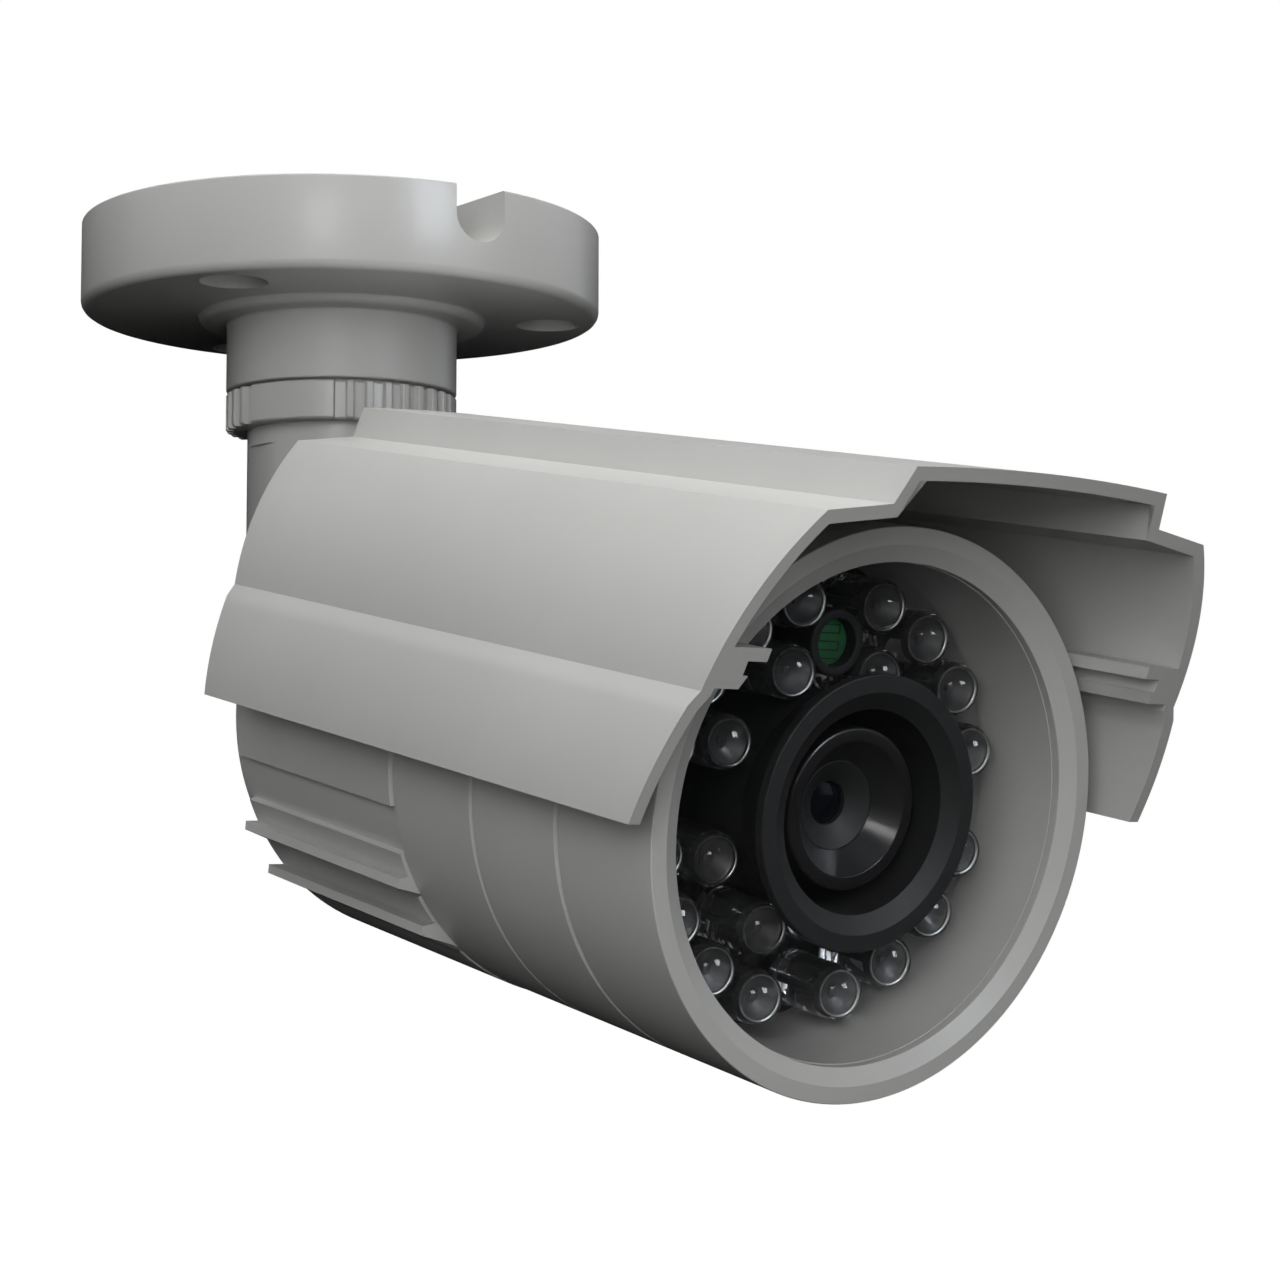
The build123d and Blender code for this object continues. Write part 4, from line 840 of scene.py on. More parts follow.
class CAMERA_OT_base(PieceOperator, bpy.types.Operator):
    """Add the round ceiling base with its neck, countersunk holes and cable notch"""
    bl_idname = "security_camera.base"
    bl_label = "Ceiling Base"

    def execute(self, context):
        s = sizes("bracket")
        low, bead = -s.base_thick, -s.base_thick - s.bead_height
        profile = rounded([
            (s.cavity_radius, 0, s.edge), (s.base_radius, 0, s.edge), (s.base_radius, low, s.base_round),
            (s.bead_radius, low, s.edge), (s.bead_radius, bead, 0.85 * s.bead_height),
            (s.neck_radius, bead, 0.3 * MM), (s.neck_radius, -s.neck_end, s.edge),
            (s.thread_radius, -s.neck_end), (s.thread_radius, -s.thread_end), (s.bore_radius, -s.thread_end),
            (s.bore_radius, -s.cavity_depth), (s.cavity_radius, -s.cavity_depth)])
        piece = raw_object("ceiling_base", revolved(profile, 240, along="up"), False)
        over = 1 * MM
        drill = np.array([(0, over), (s.screw_hole, over), (s.screw_hole, low + s.countersink_depth),
                          (s.countersink, low), (s.countersink, low - over), (0, low - over)])
        angles = [radians(90 + 120 * index) for index in range(3)]
        spots = [(cos(a) * s.screw_circle / 2, sin(a) * s.screw_circle / 2) for a in angles]
        holes = [revolved(drill, 64, False, "up", spot) for spot in spots]
        half = s.notch_width / 2
        bow = [(s.notch_offset + half * cos(a), -half + half * sin(a)) for a in np.linspace(-pi, 0, 33)]
        outline = np.array([(s.notch_offset - half, over)] + bow + [(s.notch_offset + half, over)])
        notch = swept(outline, -s.base_radius - over, -s.cavity_radius + 0.3 * MM)
        carve(piece, *holes, notch, in_camera=False)
        dress(piece, "painted_housing", "base", ("mount_base",), bevel=0.18 * MM, bevel_angle=40.0)
        return {"FINISHED"}


class CAMERA_OT_grip_rings(PieceOperator, bpy.types.Operator):
    """Add the two lock rings with their groups of grip ribs"""
    bl_idname = "security_camera.grip_rings"
    bl_label = "Grip Rings"

    def execute(self, context):
        s = sizes("bracket")
        top, low = -s.pan_ring_top, -s.pan_ring_top - s.ring_height
        lip, bore, seat = low + 1.1 * MM, s.thread_radius + 0.15 * MM, s.arm_radius + 0.1 * MM
        pan = self.ring(s, s.neck_radius, top, low, [(seat, low), (seat, lip), (bore, lip), (bore, top)])
        piece = raw_object("pan_grip_ring", pan, False)
        dress(piece, "painted_housing", "pan_ring", ("pan_lock_ring",), angle=25.0)
        front, stud = s.roll_ring_front, 3.1 * MM
        rear = front + s.ring_height
        points, faces = self.ring(s, s.arm_radius, rear, front, [(stud, front), (stud, rear)])
        piece = raw_object("roll_grip_ring", (points[:, [0, 2, 1]], faces))
        dress(piece, "painted_housing", "roll_ring", ("roll_lock_ring",), angle=25.0)
        return {"FINISHED"}

    @staticmethod
    def ring(s, radius, top, low, inner):
        """Ring whose outer radius is R in the panels and on the ribs and R - depth in the valleys.

        Each valley's wall is two short slopes that meet at a knee, so the radius is read off a line
        through the corner points (angle, depth) of one group, repeated three times round the ring.
        """
        pitch = s.rib_group / s.ribs
        wall, knee = 0.10 * MM / radius, 0.12
        corner, drop = [], []
        for rib in range(s.ribs):
            start = rib * pitch
            stop = start + pitch * s.valley_share
            corner += [start - wall, start, start + wall, stop - wall, stop, stop + wall]
            drop += [0.0, knee, 1.0, 1.0, knee, 0.0]
        turns = [np.array(corner) + s.first_rib + 2 * pi * index / 3 for index in range(3)]
        plain = [(turns[index][-1], turns[index][0] + 2 * pi / 3) for index in range(3)]
        panel = [np.linspace(a, b, 20)[1:-1] for a, b in plain]
        theta = np.concatenate([part for pair in zip(turns, panel) for part in pair])
        depth = np.concatenate([part for flat in panel for part in (drop, np.zeros(len(flat)))])
        outer = radius - depth * s.valley_depth
        soft = 0.18 * MM
        lines = [(outer - soft, top), (outer, top - soft), (outer, low + soft), (outer - soft, low)]
        lines += [(np.full_like(outer, r), z) for r, z in inner]
        points = np.stack([np.stack([r * np.cos(theta), r * np.sin(theta), np.full_like(theta, z)], -1)
                           for r, z in lines])
        return points.reshape(-1, 3), grid_faces(len(lines), len(theta), True, True).tolist()


class CAMERA_OT_arm(PieceOperator, bpy.types.Operator):
    """Add the forked arm, its clamp screw, nut and washers, and the tilt knuckle"""
    bl_idname = "security_camera.arm"
    bl_label = "Arm And Knuckle"

    def execute(self, context):
        finished_copy("bracket_arm", "forked_arm", "painted_housing", "arm", 0.22 * MM)
        finished_copy("tilt_knuckle", "knuckle", "painted_housing", "knuckle", 0.2 * MM)
        finished_copy("tilt_screw", "clamp_screw_steel", "steel", "clamp_screw", 0.08 * MM)
        finished_copy("tilt_nut", "clamp_nut", "steel", "arm", 0.1 * MM)
        finished_copy("tilt_washers", "clamp_washers", "black_nylon", "arm", 0.05 * MM)
        return {"FINISHED"}


class CAMERA_OT_front_ring(PieceOperator, bpy.types.Operator):
    """Add the front ring, the inner sleeve, the window and its seal"""
    bl_idname = "security_camera.front_ring"
    bl_label = "Front Ring"

    def execute(self, context):
        s = sizes("housing")
        soft, thread, thread_front, back = 0.08 * MM, 23.87 * MM, 7.1 * MM, 2.2 * MM
        seat = s.ring_radius - 1.5 * MM
        profile = rounded([
            (s.lip_radius, s.lip_place, 0.04 * MM), (s.chamfer_radius, FRONT_FACE, soft),
            (s.ring_radius, FRONT_FACE, s.edge), (s.ring_radius, s.bezel_end, soft),
            (thread, s.bezel_end), (thread, thread_front), (seat, thread_front), (seat, back),
            (s.lip_radius, back)])
        dress(raw_object("front_ring", revolved(profile, 240)), "painted_housing", "camera",
              ("front_bezel",))

        line, cut, edge = 11.2 * MM, 0.30 * MM, 0.02 * MM
        rebate, outer, rear = s.sleeve_radius + 0.55 * MM, seat - 0.1 * MM, 22.48 * MM
        collar_front, collar_rear = 3.1 * MM, 6.9 * MM
        profile = rounded([
            (s.sleeve_radius, s.sleeve_front, edge), (rebate, s.sleeve_front), (rebate, collar_front),
            (outer, collar_front), (outer, collar_rear), (rear, collar_rear), (rear, s.sleeve_end),
            (s.sleeve_radius + cut, s.sleeve_end), (s.sleeve_radius + cut, line + cut, edge),
            (s.sleeve_radius, line, 0.03 * MM)])
        dress(raw_object("sleeve", revolved(profile, 192)), "painted_housing", "camera",
              ("inner_sleeve",))

        pane, pane_front, pane_rear = s.lip_radius - 0.02 * MM, 1.35 * MM, 2.15 * MM
        profile = rounded([(0, pane_front), (pane, pane_front, 0.1 * MM), (pane, pane_rear, 0.1 * MM),
                           (0, pane_rear)], closed=False)
        dress(raw_object("clear_window", revolved(profile, 160, False)), "window_glass", "camera",
              ("front_window",))
        finish_nodes("rubber", "window_seal")
        return {"FINISHED"}


class CAMERA_OT_tube(PieceOperator, bpy.types.Operator):
    """Add the smooth front tube with its turned line"""
    bl_idname = "security_camera.tube"
    bl_label = "Front Tube"

    def execute(self, context):
        s = sizes("housing")
        start, groove, soft = s.bezel_end + 0.1 * MM, 0.35 * MM, 0.05 * MM
        nose, nose_front, nose_bore = 23.75 * MM, 7.2 * MM, 22.6 * MM
        ledge, ledge_front, ledge_rear = 20.8 * MM, 19.2 * MM, 21.2 * MM
        profile = rounded([
            (nose, start), (s.ring_radius - s.seam, start), (s.ring_radius, start + s.seam, soft),
            (s.ring_radius, s.line_place, 0.04 * MM), (s.ring_radius - groove, s.line_place),
            (s.ring_radius, s.line_place + s.seam, soft), (s.ring_radius, s.tube_end, 0.08 * MM),
            (s.bore, s.tube_end), (s.bore, ledge_rear), (ledge, ledge_rear), (ledge, ledge_front),
            (nose_bore, ledge_front), (nose_bore, nose_front), (nose, nose_front)])
        dress(raw_object("tube", revolved(profile, 240)), "painted_housing", "camera", ("front_tube",))
        return {"FINISHED"}


class CAMERA_OT_rear_housing(PieceOperator, bpy.types.Operator):
    """Add the rear housing with its side recesses and fins"""
    bl_idname = "security_camera.rear_housing"
    bl_label = "Rear Housing"

    def execute(self, context):
        s = sizes("housing")
        start, spigot = s.tube_end + 0.1 * MM, s.bore - 0.12 * MM
        outline = self.outline(s)
        radius = np.hypot(*outline.T)
        on_circle = radius < s.housing_radius + 1e-6
        inset = np.where(on_circle, (radius - s.seam) / radius, 1.0)[:, None] * outline
        count = len(outline)
        rings = [(inset, start), (outline, start + s.seam), (outline, s.housing_end)]
        points = [np.stack([ring[:, 0], np.full(count, y), ring[:, 1]], -1) for ring, y in rings]
        faces = grid_faces(3, count, False, True).tolist()
        faces += [list(range(count)), list(range(2 * count, 3 * count))]
        piece = raw_object("finned_housing", (np.concatenate(points), faces))
        over, spigot_front = 1 * MM, start - 7 * MM
        carve(piece, rod(spigot, spigot_front, start + over, segments=192), operation="UNION")
        groove_place, half, floor = start - 3.5 * MM, 0.5 * MM, spigot - 0.9 * MM
        groove = np.array([(floor, groove_place - half), (spigot + over, groove_place - half),
                           (spigot + over, groove_place + half), (floor, groove_place + half)])
        hollow, neck, neck_front, neck_rear = 21.5 * MM, 17.0 * MM, 61.2 * MM, 66.2 * MM
        front, rear = start - 8 * MM, s.housing_end + over
        bore = np.array([(0, front), (hollow, front), (hollow, neck_front), (neck, neck_front),
                         (neck, neck_rear), (s.bore, neck_rear), (s.bore, rear), (0, rear)])
        carve(piece, revolved(groove, 192), revolved(bore, 176, False))
        dress(piece, "painted_housing", "camera", ("rear_housing",), bevel=0.1 * MM, angle=28.0)
        finish_nodes("rubber", "housing_seal", "rear_cap_seal")
        return {"FINISHED"}

    @staticmethod
    def outline(s):
        """Closed outline: arcs of the housing circle, recessed at the sides, with fins let in.

        A fin's top meets the circle at x = sqrt(R^2 - z^2), and its sloping underside, the line
        z = z0 - (x0 - x) tan(taper), meets it at the root of a quadratic.
        """
        radius, slope = s.housing_radius, tan(s.fin_taper)

        def fin(top, tip):
            """Corners of one fin, from the foot of its underside to the foot of its top."""
            low = top - s.fin_thick
            rise = low - slope * tip
            a, b, c = 1 + slope ** 2, 2 * slope * rise, rise ** 2 - radius ** 2
            foot = (-b + (b * b - 4 * a * c) ** 0.5) / (2 * a)
            shoulder = (radius ** 2 - top ** 2) ** 0.5
            return [(foot, rise + slope * foot), (tip, low), (tip, top), (shoulder, top)]

        def arc(r, first, last):
            """Points on a circle between two angles, about 2.5 degrees apart."""
            t = np.linspace(first, last, max(3, int((last - first) / radians(2.5)) + 2))
            return [(r * cos(a), r * sin(a)) for a in t]

        def bearing(point):
            """Angle of a point round the axis."""
            return float(np.arctan2(point[1], point[0]))

        tops_and_tips = ((-17.45, 19.75), (-12.9, 22.9), (13.6, 23.35))
        lowest, lower, rail = (fin(top * MM, tip * MM) for top, tip in tops_and_tips)
        inner = radius - s.recess_depth
        right = arc(radius, -pi / 2, bearing(lowest[0])) + lowest[1:3]
        right += arc(radius, bearing(lowest[3]), bearing(lower[0])) + lower[1:3]
        right += arc(radius, bearing(lower[3]), -s.recess_to) + arc(inner, -s.recess_to, -s.recess_from)
        right += arc(radius, -s.recess_from, bearing(rail[0])) + rail[1:3]
        right += arc(radius, bearing(rail[3]), pi / 2)
        right = np.array(right)
        left = right[1:-1][::-1] * (-1, 1)
        return np.concatenate([right, left])


class CAMERA_OT_rear_cap(PieceOperator, bpy.types.Operator):
    """Add the rear cap, its screws, the cable gland and the roll stud"""
    bl_idname = "security_camera.rear_cap"
    bl_label = "Rear Cap"

    def execute(self, context):
        s = sizes("housing")
        plug, plug_y, over = s.bore - 0.2 * MM, 66.2 * MM, 1 * MM
        profile = rounded([
            (0, plug_y), (plug, plug_y), (plug, s.housing_end), (s.cap_radius, s.housing_end, s.edge),
            (s.cap_radius, s.cap_rear, 0.6 * MM), (s.boss_radius, s.cap_rear, 1.15 * MM),
            (s.boss_radius, s.boss_rear, 0.4 * MM), (0, s.boss_rear)], closed=False)
        piece = raw_object("back_cover", revolved(profile, 192, False))
        spots = [(s.cap_screw_circle * cos(a), s.cap_screw_circle * sin(a))
                 for a in (pi / 4 + pi / 2 * index for index in range(4))]
        room_floor, shank, stud = s.cap_rear - s.cap_screw_depth, 1.35 * MM, 3.05 * MM
        cutters = [rod(s.cap_screw_room, room_floor, s.cap_rear + over, spot, 48) for spot in spots]
        cutters += [rod(shank, plug_y - over, s.cap_rear + over, spot, 32) for spot in spots]
        cutters += [rod(stud, plug_y - over, s.boss_rear + over, segments=64),
                    rod(s.gland_radius, plug_y - over, s.boss_rear + over, (0, -s.gland_drop), 64)]
        carve(piece, *cutters)
        dress(piece, "painted_housing", "camera", ("rear_cap",), bevel=0.12 * MM, bevel_angle=40.0)
        finished_copy("rear_cap_screws", "cap_screws", "steel", "camera", 0.08 * MM)
        finished_copy("cable_gland", "rubber_gland", "rubber", "camera", 0.15 * MM)
        finished_copy("roll_stud", "threaded_stud", "steel", "camera", 0.08 * MM)
        return {"FINISHED"}


class CAMERA_OT_sunshield(PieceOperator, bpy.types.Operator):
    """Add the bent sheet sunshield with its rails, and its lock screw"""
    bl_idname = "security_camera.sunshield"
    bl_label = "Sunshield"

    def execute(self, context):
        s = sizes("shield")
        outer = self.outer_half(s)
        inner = self.inset(outer, s.wall)
        inner[-1, 1] = 0.0
        rail = np.array([
            (s.upper_lip_x, s.slot_top + s.lip_thick), (s.upper_lip_x, s.slot_top), (s.slot_x, s.slot_top),
            (s.slot_x, s.slot_low), (s.lower_lip_x, s.slot_low),
            (s.lower_lip_x + s.lip_slope, s.slot_low - s.lip_thick)])
        above, below = inner[inner[:, 1] > rail[0, 1]], inner[inner[:, 1] < rail[-1, 1]]
        order = np.argsort(inner[:, 1])
        on_wall = np.interp([rail[0, 1], rail[-1, 1]], inner[order, 1], inner[order, 0])
        joins = np.array([(on_wall[0], rail[0, 1]), (on_wall[1], rail[-1, 1])])
        inner = np.concatenate([above, joins[:1], rail, joins[1:], below])
        mirror = np.array([-1, 1])
        left_outer, left_inner = (outer * mirror)[::-1], inner * mirror
        outline = np.concatenate([left_outer, outer[1:], inner[::-1], left_inner[1:]])
        starts = s.front - s.rake * outline[:, 1]
        piece = raw_object("bent_shield", swept(outline, starts, s.rear))
        sheet = s.top - s.wall
        spot = (0.0, s.boss_place)
        boss = rod(s.boss_radius, sheet - s.boss_height, s.top - s.wall / 2, spot, 64, "up")
        hole = rod(s.screw_hole, sheet - 2 * s.boss_height, s.top + s.wall, spot, 48, "up")
        carve(piece, boss, operation="UNION")
        carve(piece, hole)
        dress(piece, "painted_housing", "shield", ("sunshield",), bevel=s.edge, bevel_steps=3, angle=25.0,
              bevel_angle=28.0)
        finished_copy("shield_set_screw", "shield_lock_screw", "steel", "lock_screw", 0.06 * MM)
        return {"FINISHED"}

    @staticmethod
    def outer_half(s):
        """Outer outline of the right half, from the crown's middle to the skirt's lower edge."""
        crown = arc_through((-s.corner_x, s.corner_z), (0, s.top), (s.corner_x, s.corner_z), 41)[20:]
        side = arc_through((s.shoulder_x, s.shoulder_z), (s.side_x, s.side_z), (s.waist_x, s.waist_z), 24)
        skirt = arc_through((s.skirt_x, s.skirt_z), (s.belly_x, s.belly_z), (s.foot_x, 0), 14)
        return np.concatenate([crown, [(s.step_x, s.step_z)], side, skirt])

    @staticmethod
    def inset(line, wall):
        """The line moved inwards by a wall: each corner moves along the sum of its two sides' normals,
        divided by one plus their product, so both sides stay parallel."""
        along = np.diff(line, axis=0)
        along /= np.hypot(*along.T)[:, None]
        normal = np.stack([along[:, 1], -along[:, 0]], 1)
        first = np.concatenate([[(0.0, -1.0)], normal])
        last = np.concatenate([normal, [normal[-1]]])
        return line + wall * (first + last) / (1 + (first * last).sum(1))[:, None]


class CAMERA_OT_lamps(PieceOperator, bpy.types.Operator):
    """Add the infrared lamps with their lead frames and reflector cups"""
    bl_idname = "security_camera.lamps"
    bl_label = "Infrared Lamps"

    def execute(self, context):
        s = sizes("lamps")
        spots = []
        for circle, angles in ((s.outer_circle, (15, 35, 55, 75)), (s.inner_circle, (24, 66))):
            turned = [radians(a + 90 * quarter) for quarter in range(4) for a in angles]
            spots += [(circle * cos(a), 0.0, circle * sin(a)) for a in turned]
        t = np.linspace(0, pi / 2, 12)
        nose = np.stack([s.radius * np.sin(t), s.tip + s.radius * (1 - np.cos(t))], 1)
        flange_front, soft = s.base - 1.0 * MM, 0.08 * MM
        skirt = rounded([(s.radius, flange_front), (s.flange, flange_front, soft),
                         (s.flange, s.base, soft), (0, s.base)], 3, False)
        body = revolved(np.concatenate([nose, skirt]), 40, False)
        piece = raw_object("lamp_bodies", repeated(body, spots))
        dress(piece, "lamp_epoxy", "camera", ("led_lenses",), angle=50.0)

        rim, cup, fine = s.tip + s.cup_place, s.cup_radius, 0.03 * MM
        well, well_floor, cup_rear = 0.45 * MM, rim + 0.45 * MM, rim + 0.9 * MM
        profile = rounded([
            (0, well_floor), (well, well_floor, soft), (cup - 0.15 * MM, rim, fine),
            (cup, rim, fine), (cup, cup_rear, 0.15 * MM), (0, cup_rear)], 3, False)
        dish = revolved(profile, 28, False)
        die = brick(0.42 * MM, 0.16 * MM, 0.42 * MM, (0, rim + 0.36 * MM, 0))
        lip_in, lip_out, lip_front, lip_rear = (
            cup - 0.02 * MM, cup + 0.10 * MM, rim - 0.04 * MM, rim + 0.12 * MM)
        lip = revolved(rounded([(lip_in, lip_front, fine), (lip_out, lip_front, fine),
                                (lip_out, lip_rear, fine), (lip_in, lip_rear, fine)], 3), 28)
        leg_top, side_top, gap = cup_rear + 0.6 * MM, rim + 1.4 * MM, 1.27 * MM
        foot = s.base - 0.05 * MM
        anvil = brick(1.5 * MM, 1.3 * MM, s.post, (-0.45 * MM, leg_top, 0))
        leg = brick(s.post, foot - leg_top, s.post, (-gap * 0.8, (foot + leg_top) / 2, 0))
        side_leg = brick(s.post, foot - side_top, s.post, (gap * 0.95, (foot + side_top) / 2, 0))
        wing = brick(0.7 * MM, 0.8 * MM, s.post, (gap * 0.8, side_top + 0.4 * MM, 0))
        metal = merged(dish, anvil, leg, side_leg, wing)
        piece = raw_object("lamp_frames", repeated(metal, spots))
        dress(piece, "dark_frame", "camera", angle=40.0)
        piece = raw_object("cup_rims", repeated(lip, spots))
        dress(piece, "tinned_wire", "camera", angle=40.0)
        piece = raw_object("lamp_dies", repeated(die, spots))
        dress(piece, "chip_ceramic", "camera", angle=40.0)
        finish_nodes("tinned_wire", "led_leads")
        return {"FINISHED"}


class CAMERA_OT_lamp_board(PieceOperator, bpy.types.Operator):
    """Add the lamp board, its small parts and solder joints"""
    bl_idname = "security_camera.lamp_board"
    bl_label = "Lamp Board"

    def execute(self, context):
        s = sizes("lamps")
        front, rear, soft = s.board, s.board + s.board_thick, 0.05 * MM
        profile = rounded([(s.board_bore, front, soft), (s.board_radius, front, soft),
                           (s.board_radius, rear, soft), (s.board_bore, rear, soft)], 3)
        piece = raw_object("lamp_board", revolved(profile, 160))
        screw_place, screw_hole, before, behind = 12.5 * MM, 1.3 * MM, 1 * MM, 3 * MM
        spots = [(x * screw_place, z * screw_place) for x in (-1, 1) for z in (-1, 1)]
        carve(piece, *[rod(screw_hole, front - before, front + behind, spot, 32) for spot in spots])
        dress(piece, "black_board", "camera", ("led_board",))
        finished_copy("led_board_screws", "board_screws", "steel", "camera", 0.08 * MM)

        draw = np.random.default_rng(7)
        count, wander, circle = 8, 4, 15.2 * MM
        angles = np.radians(np.arange(count) * 360 / count + draw.uniform(-wander, wander, count))
        seats = [(circle * cos(a), 0.0, circle * sin(a)) for a in angles]
        chip = brick(1.6 * MM, 0.5 * MM, 0.85 * MM, (0, front - 0.25 * MM, 0))
        piece = raw_object("board_resistors", repeated(chip, seats))
        dress(piece, "chip_resin", "camera", bevel=0.05 * MM)
        ends = merged(*[brick(0.35 * MM, 0.52 * MM, 0.87 * MM, (x * MM, front - 0.26 * MM, 0))
                        for x in (-0.72, 0.72)])
        piece = raw_object("resistor_ends", repeated(ends, seats))
        dress(piece, "tinned_wire", "camera", bevel=0.04 * MM)
        return {"FINISHED"}


class CAMERA_OT_light_sensor(PieceOperator, bpy.types.Operator):
    """Add the light sensor's tube, its green cell and the winding track on it"""
    bl_idname = "security_camera.light_sensor"
    bl_label = "Light Sensor"

    def execute(self, context):
        s = sizes("lamps")
        spot = (0.0, s.sensor_height)
        bore, rear, ledge = s.cell_radius + 0.05 * MM, s.board, 12.4 * MM
        throat, cell_rear, soft = bore - 0.6 * MM, s.cell_front + 2 * MM, 0.06 * MM
        profile = rounded([
            (bore, s.sensor_front, 0.1 * MM), (s.sensor_radius, s.sensor_front, 0.2 * MM),
            (s.sensor_radius, rear), (throat, rear), (throat, ledge), (bore, ledge)])
        dress(raw_object("sensor_tube", revolved(profile, 72, centre=spot)), "black_nylon", "camera",
              ("light_sensor_holder",))
        profile = rounded([(0, s.cell_front), (s.cell_radius, s.cell_front, soft),
                           (s.cell_radius, cell_rear, soft), (0, cell_rear)], closed=False)
        dress(raw_object("sensor_face", revolved(profile, 64, False, centre=spot)), "sensor_cell",
              "camera", ("light_sensor_cell",))
        dress(raw_object("sensor_track", self.track(s)), "track_ink", "camera")
        return {"FINISHED"}

    @staticmethod
    def track(s):
        """Flat ribbon along a winding line: rows run to and fro across the cell and a short end joins
        each row to the next, and the ribbon's two edges are the line moved half its width each way."""
        reach, step = 0.55 * s.cell_radius, 0.36 * s.cell_radius
        rows = np.arange(-2, 3) * step
        line = []
        for index, height in enumerate(rows):
            ends = [-reach, reach] if index % 2 else [reach, -reach]
            line += [(ends[0], height), (ends[1], height)]
        line = np.array(line)
        blocks = []
        front, half = s.cell_front - 0.02 * MM, s.track / 2
        for (x0, z0), (x1, z1) in zip(line[:-1], line[1:]):
            width, height = abs(x1 - x0) + 2 * half, abs(z1 - z0) + 2 * half
            middle = ((x0 + x1) / 2, front, s.sensor_height + (z0 + z1) / 2)
            blocks.append(brick(width, 0.04 * MM, height, middle))
        return merged(*blocks)


class CAMERA_OT_lens(PieceOperator, bpy.types.Operator):
    """Add the lens hood, barrel, elements and lock ring"""
    bl_idname = "security_camera.lens"
    bl_label = "Lens"

    def execute(self, context):
        s = sizes("lens")
        soft, rim_end, root, root_front = 0.08 * MM, 3.2 * MM, 8.3 * MM, 15 * MM
        profile = rounded([
            (s.hood_face, s.hood_front, soft), (s.hood_radius, s.hood_front, 0.15 * MM),
            (s.hood_radius, rim_end, 0.3 * MM), (s.hood_outer, s.hood_cone, 0.4 * MM),
            (s.hood_outer, s.hood_end), (root, s.hood_end), (root, root_front), (s.hood_bore, root_front),
            (s.hood_bore, rim_end, soft)])
        dress(raw_object("hood", revolved(profile, 144)), "black_nylon", "camera", ("lens_hood",))

        head_end, bore_front = 9.5 * MM, s.eye_place + 0.5 * MM
        profile = rounded([
            (s.step, s.step_place), (s.mouth, s.front, soft), (s.head_radius, s.front, 0.25 * MM),
            (s.head_radius, head_end, soft), (s.thread, head_end), (s.thread, s.end), (s.bore, s.end),
            (s.bore, bore_front), (s.step, bore_front)])
        dress(raw_object("barrel", revolved(profile, 144)), "black_anodised", "lens", ("lens_barrel",))
        land, land_rear = s.step - 0.02 * MM, s.eye_place + 0.48 * MM
        profile = rounded([(s.eye, s.eye_place, 0.05 * MM), (land, s.step_place, 0.06 * MM),
                           (land, land_rear), (s.eye, land_rear)])
        dress(raw_object("eye_surround", revolved(profile, 96)), "black_nylon", "lens")

        seat, rim = s.eye_place + 0.55 * MM, s.eye - 0.05 * MM
        crown, sag, glass, thick = s.eye_place + 0.02 * MM, 0.4 * MM, 4.65 * MM, 2 * MM
        u = np.linspace(0, 1, 12)
        dome = np.stack([rim * u, crown + sag * u ** 2], 1)
        body = np.array([(rim, seat), (glass, seat), (glass, seat + thick), (0, seat + thick)])
        element = revolved(np.concatenate([dome, body]), 72, False)
        dress(raw_object("front_glass", element), "lens_glass", "lens", ("lens_front_element",))
        finish_nodes("lens_glass", "lens_rear_element")
        finish_nodes("filter_glass", "infrared_filter")
        finished_copy("lens_lock_ring", "focus_lock_ring", "black_anodised", "focus_ring", 0.08 * MM)
        return {"FINISHED"}


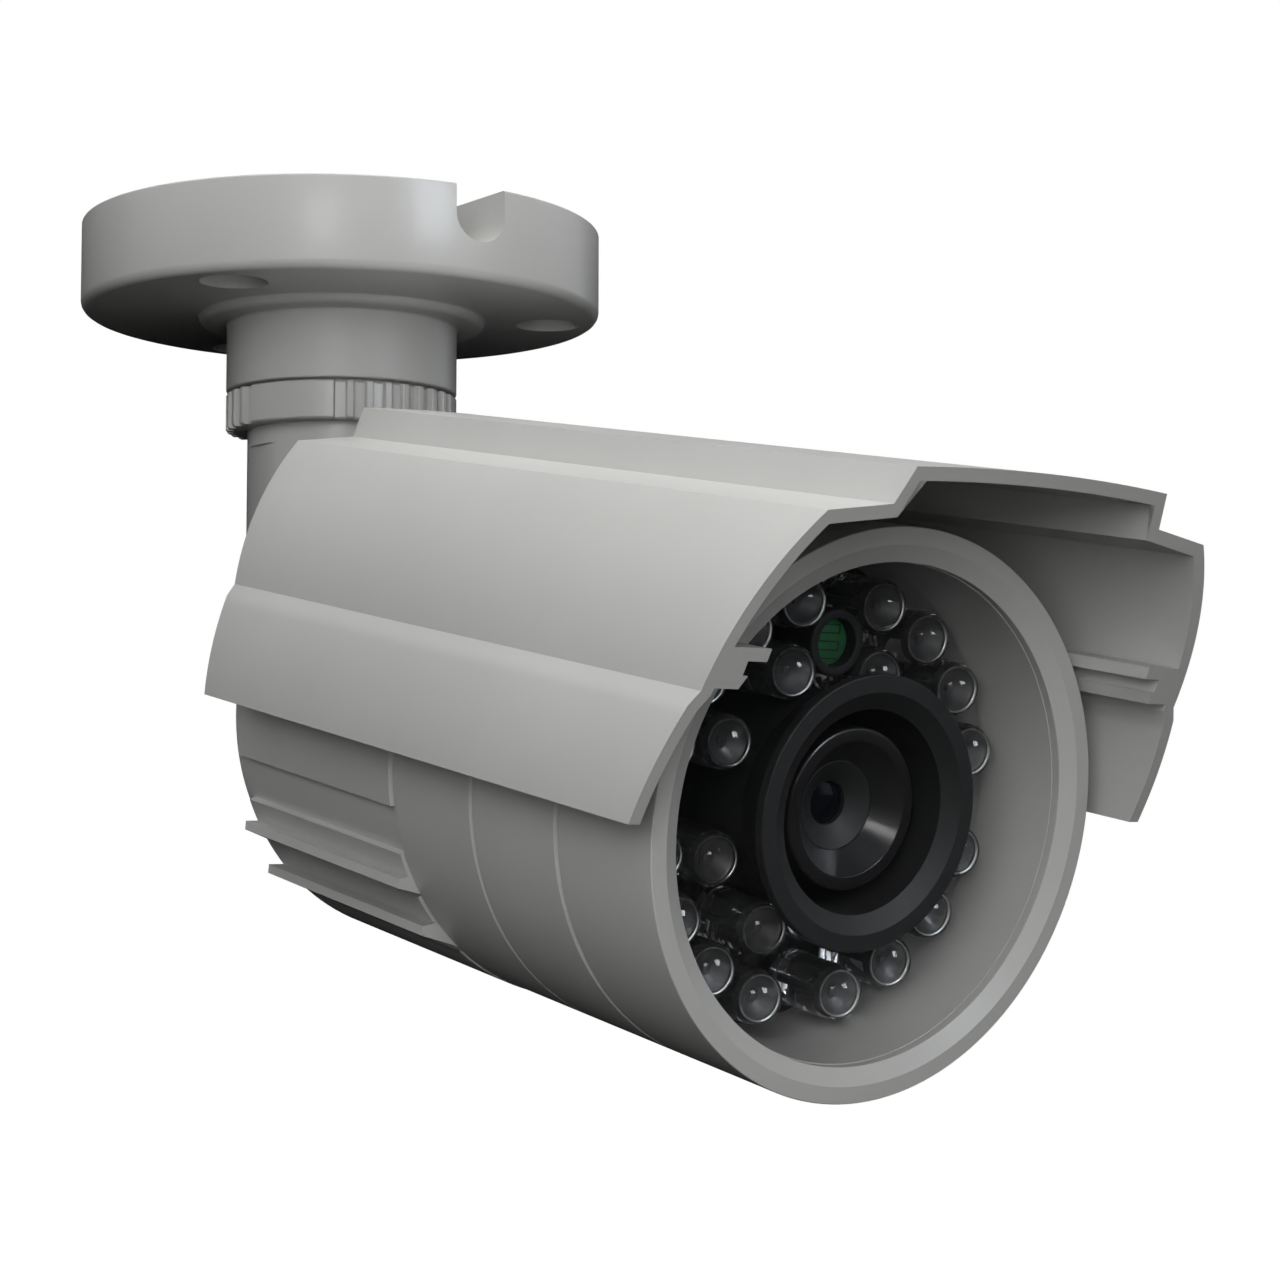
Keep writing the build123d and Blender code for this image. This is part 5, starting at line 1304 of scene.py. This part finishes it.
class CAMERA_OT_inner_parts(PieceOperator, bpy.types.Operator):
    """Give the boards, spacers and chips inside the housing their finishes"""
    bl_idname = "security_camera.inner_parts"
    bl_label = "Inner Parts"

    def execute(self, context):
        finish_nodes("green_board", "sensor_board", "power_board")
        finish_nodes("brass", "front_standoffs", "rear_standoffs")
        finish_nodes("steel", "power_board_screws", "lens_mount_screws")
        finish_nodes("chip_resin", "video_chip", "power_coil")
        finish_nodes("chip_ceramic", "image_sensor")
        finish_nodes("ivory_nylon", "board_connector", "ribbon_socket")
        finish_nodes("capacitor_can", "power_capacitor")
        finish_nodes("ribbon_vinyl", "led_ribbon")
        finish_nodes("black_nylon", "lens_mount")
        return {"FINISHED"}


OPERATORS = (
    CAMERA_OT_stage, CAMERA_OT_base, CAMERA_OT_grip_rings, CAMERA_OT_arm, CAMERA_OT_front_ring,
    CAMERA_OT_tube, CAMERA_OT_rear_housing, CAMERA_OT_rear_cap, CAMERA_OT_sunshield, CAMERA_OT_lamps,
    CAMERA_OT_lamp_board, CAMERA_OT_light_sensor, CAMERA_OT_lens, CAMERA_OT_inner_parts)
GROUPS = {"bracket": BracketSizes, "housing": HousingSizes, "shield": ShieldSizes, "lamps": LampSizes,
          "lens": LensSizes, "colours": FinishColours, "stage": StageSettings}


class CAMERA_PT_pieces(bpy.types.Panel):
    """Sidebar panel that lists the pieces of the security camera"""
    bl_label = "Security Camera"
    bl_idname = "CAMERA_PT_pieces"
    bl_space_type = "VIEW_3D"
    bl_region_type = "UI"
    bl_category = "Security Camera"

    def draw(self, context):
        for operator in OPERATORS:
            self.layout.operator(operator.bl_idname)


def register():
    """Registers the property groups, operators and panel."""
    for name, group in GROUPS.items():
        bpy.utils.register_class(group)
        setattr(bpy.types.Scene, "security_camera_" + name, bpy.props.PointerProperty(type=group))
    for item in OPERATORS + (CAMERA_PT_pieces,):
        bpy.utils.register_class(item)


def unregister():
    """Takes them away again."""
    for item in reversed(OPERATORS + (CAMERA_PT_pieces,)):
        bpy.utils.unregister_class(item)
    for name, group in reversed(GROUPS.items()):
        delattr(bpy.types.Scene, "security_camera_" + name)
        bpy.utils.unregister_class(group)


def main():
    """Builds every piece."""
    register()
    for operator in OPERATORS:
        call = getattr(bpy.ops.security_camera, operator.bl_idname.split(".")[1])
        if call() != {"FINISHED"}:
            raise RuntimeError(operator.bl_label + " did not finish")


if __name__ == "__main__":
    main()
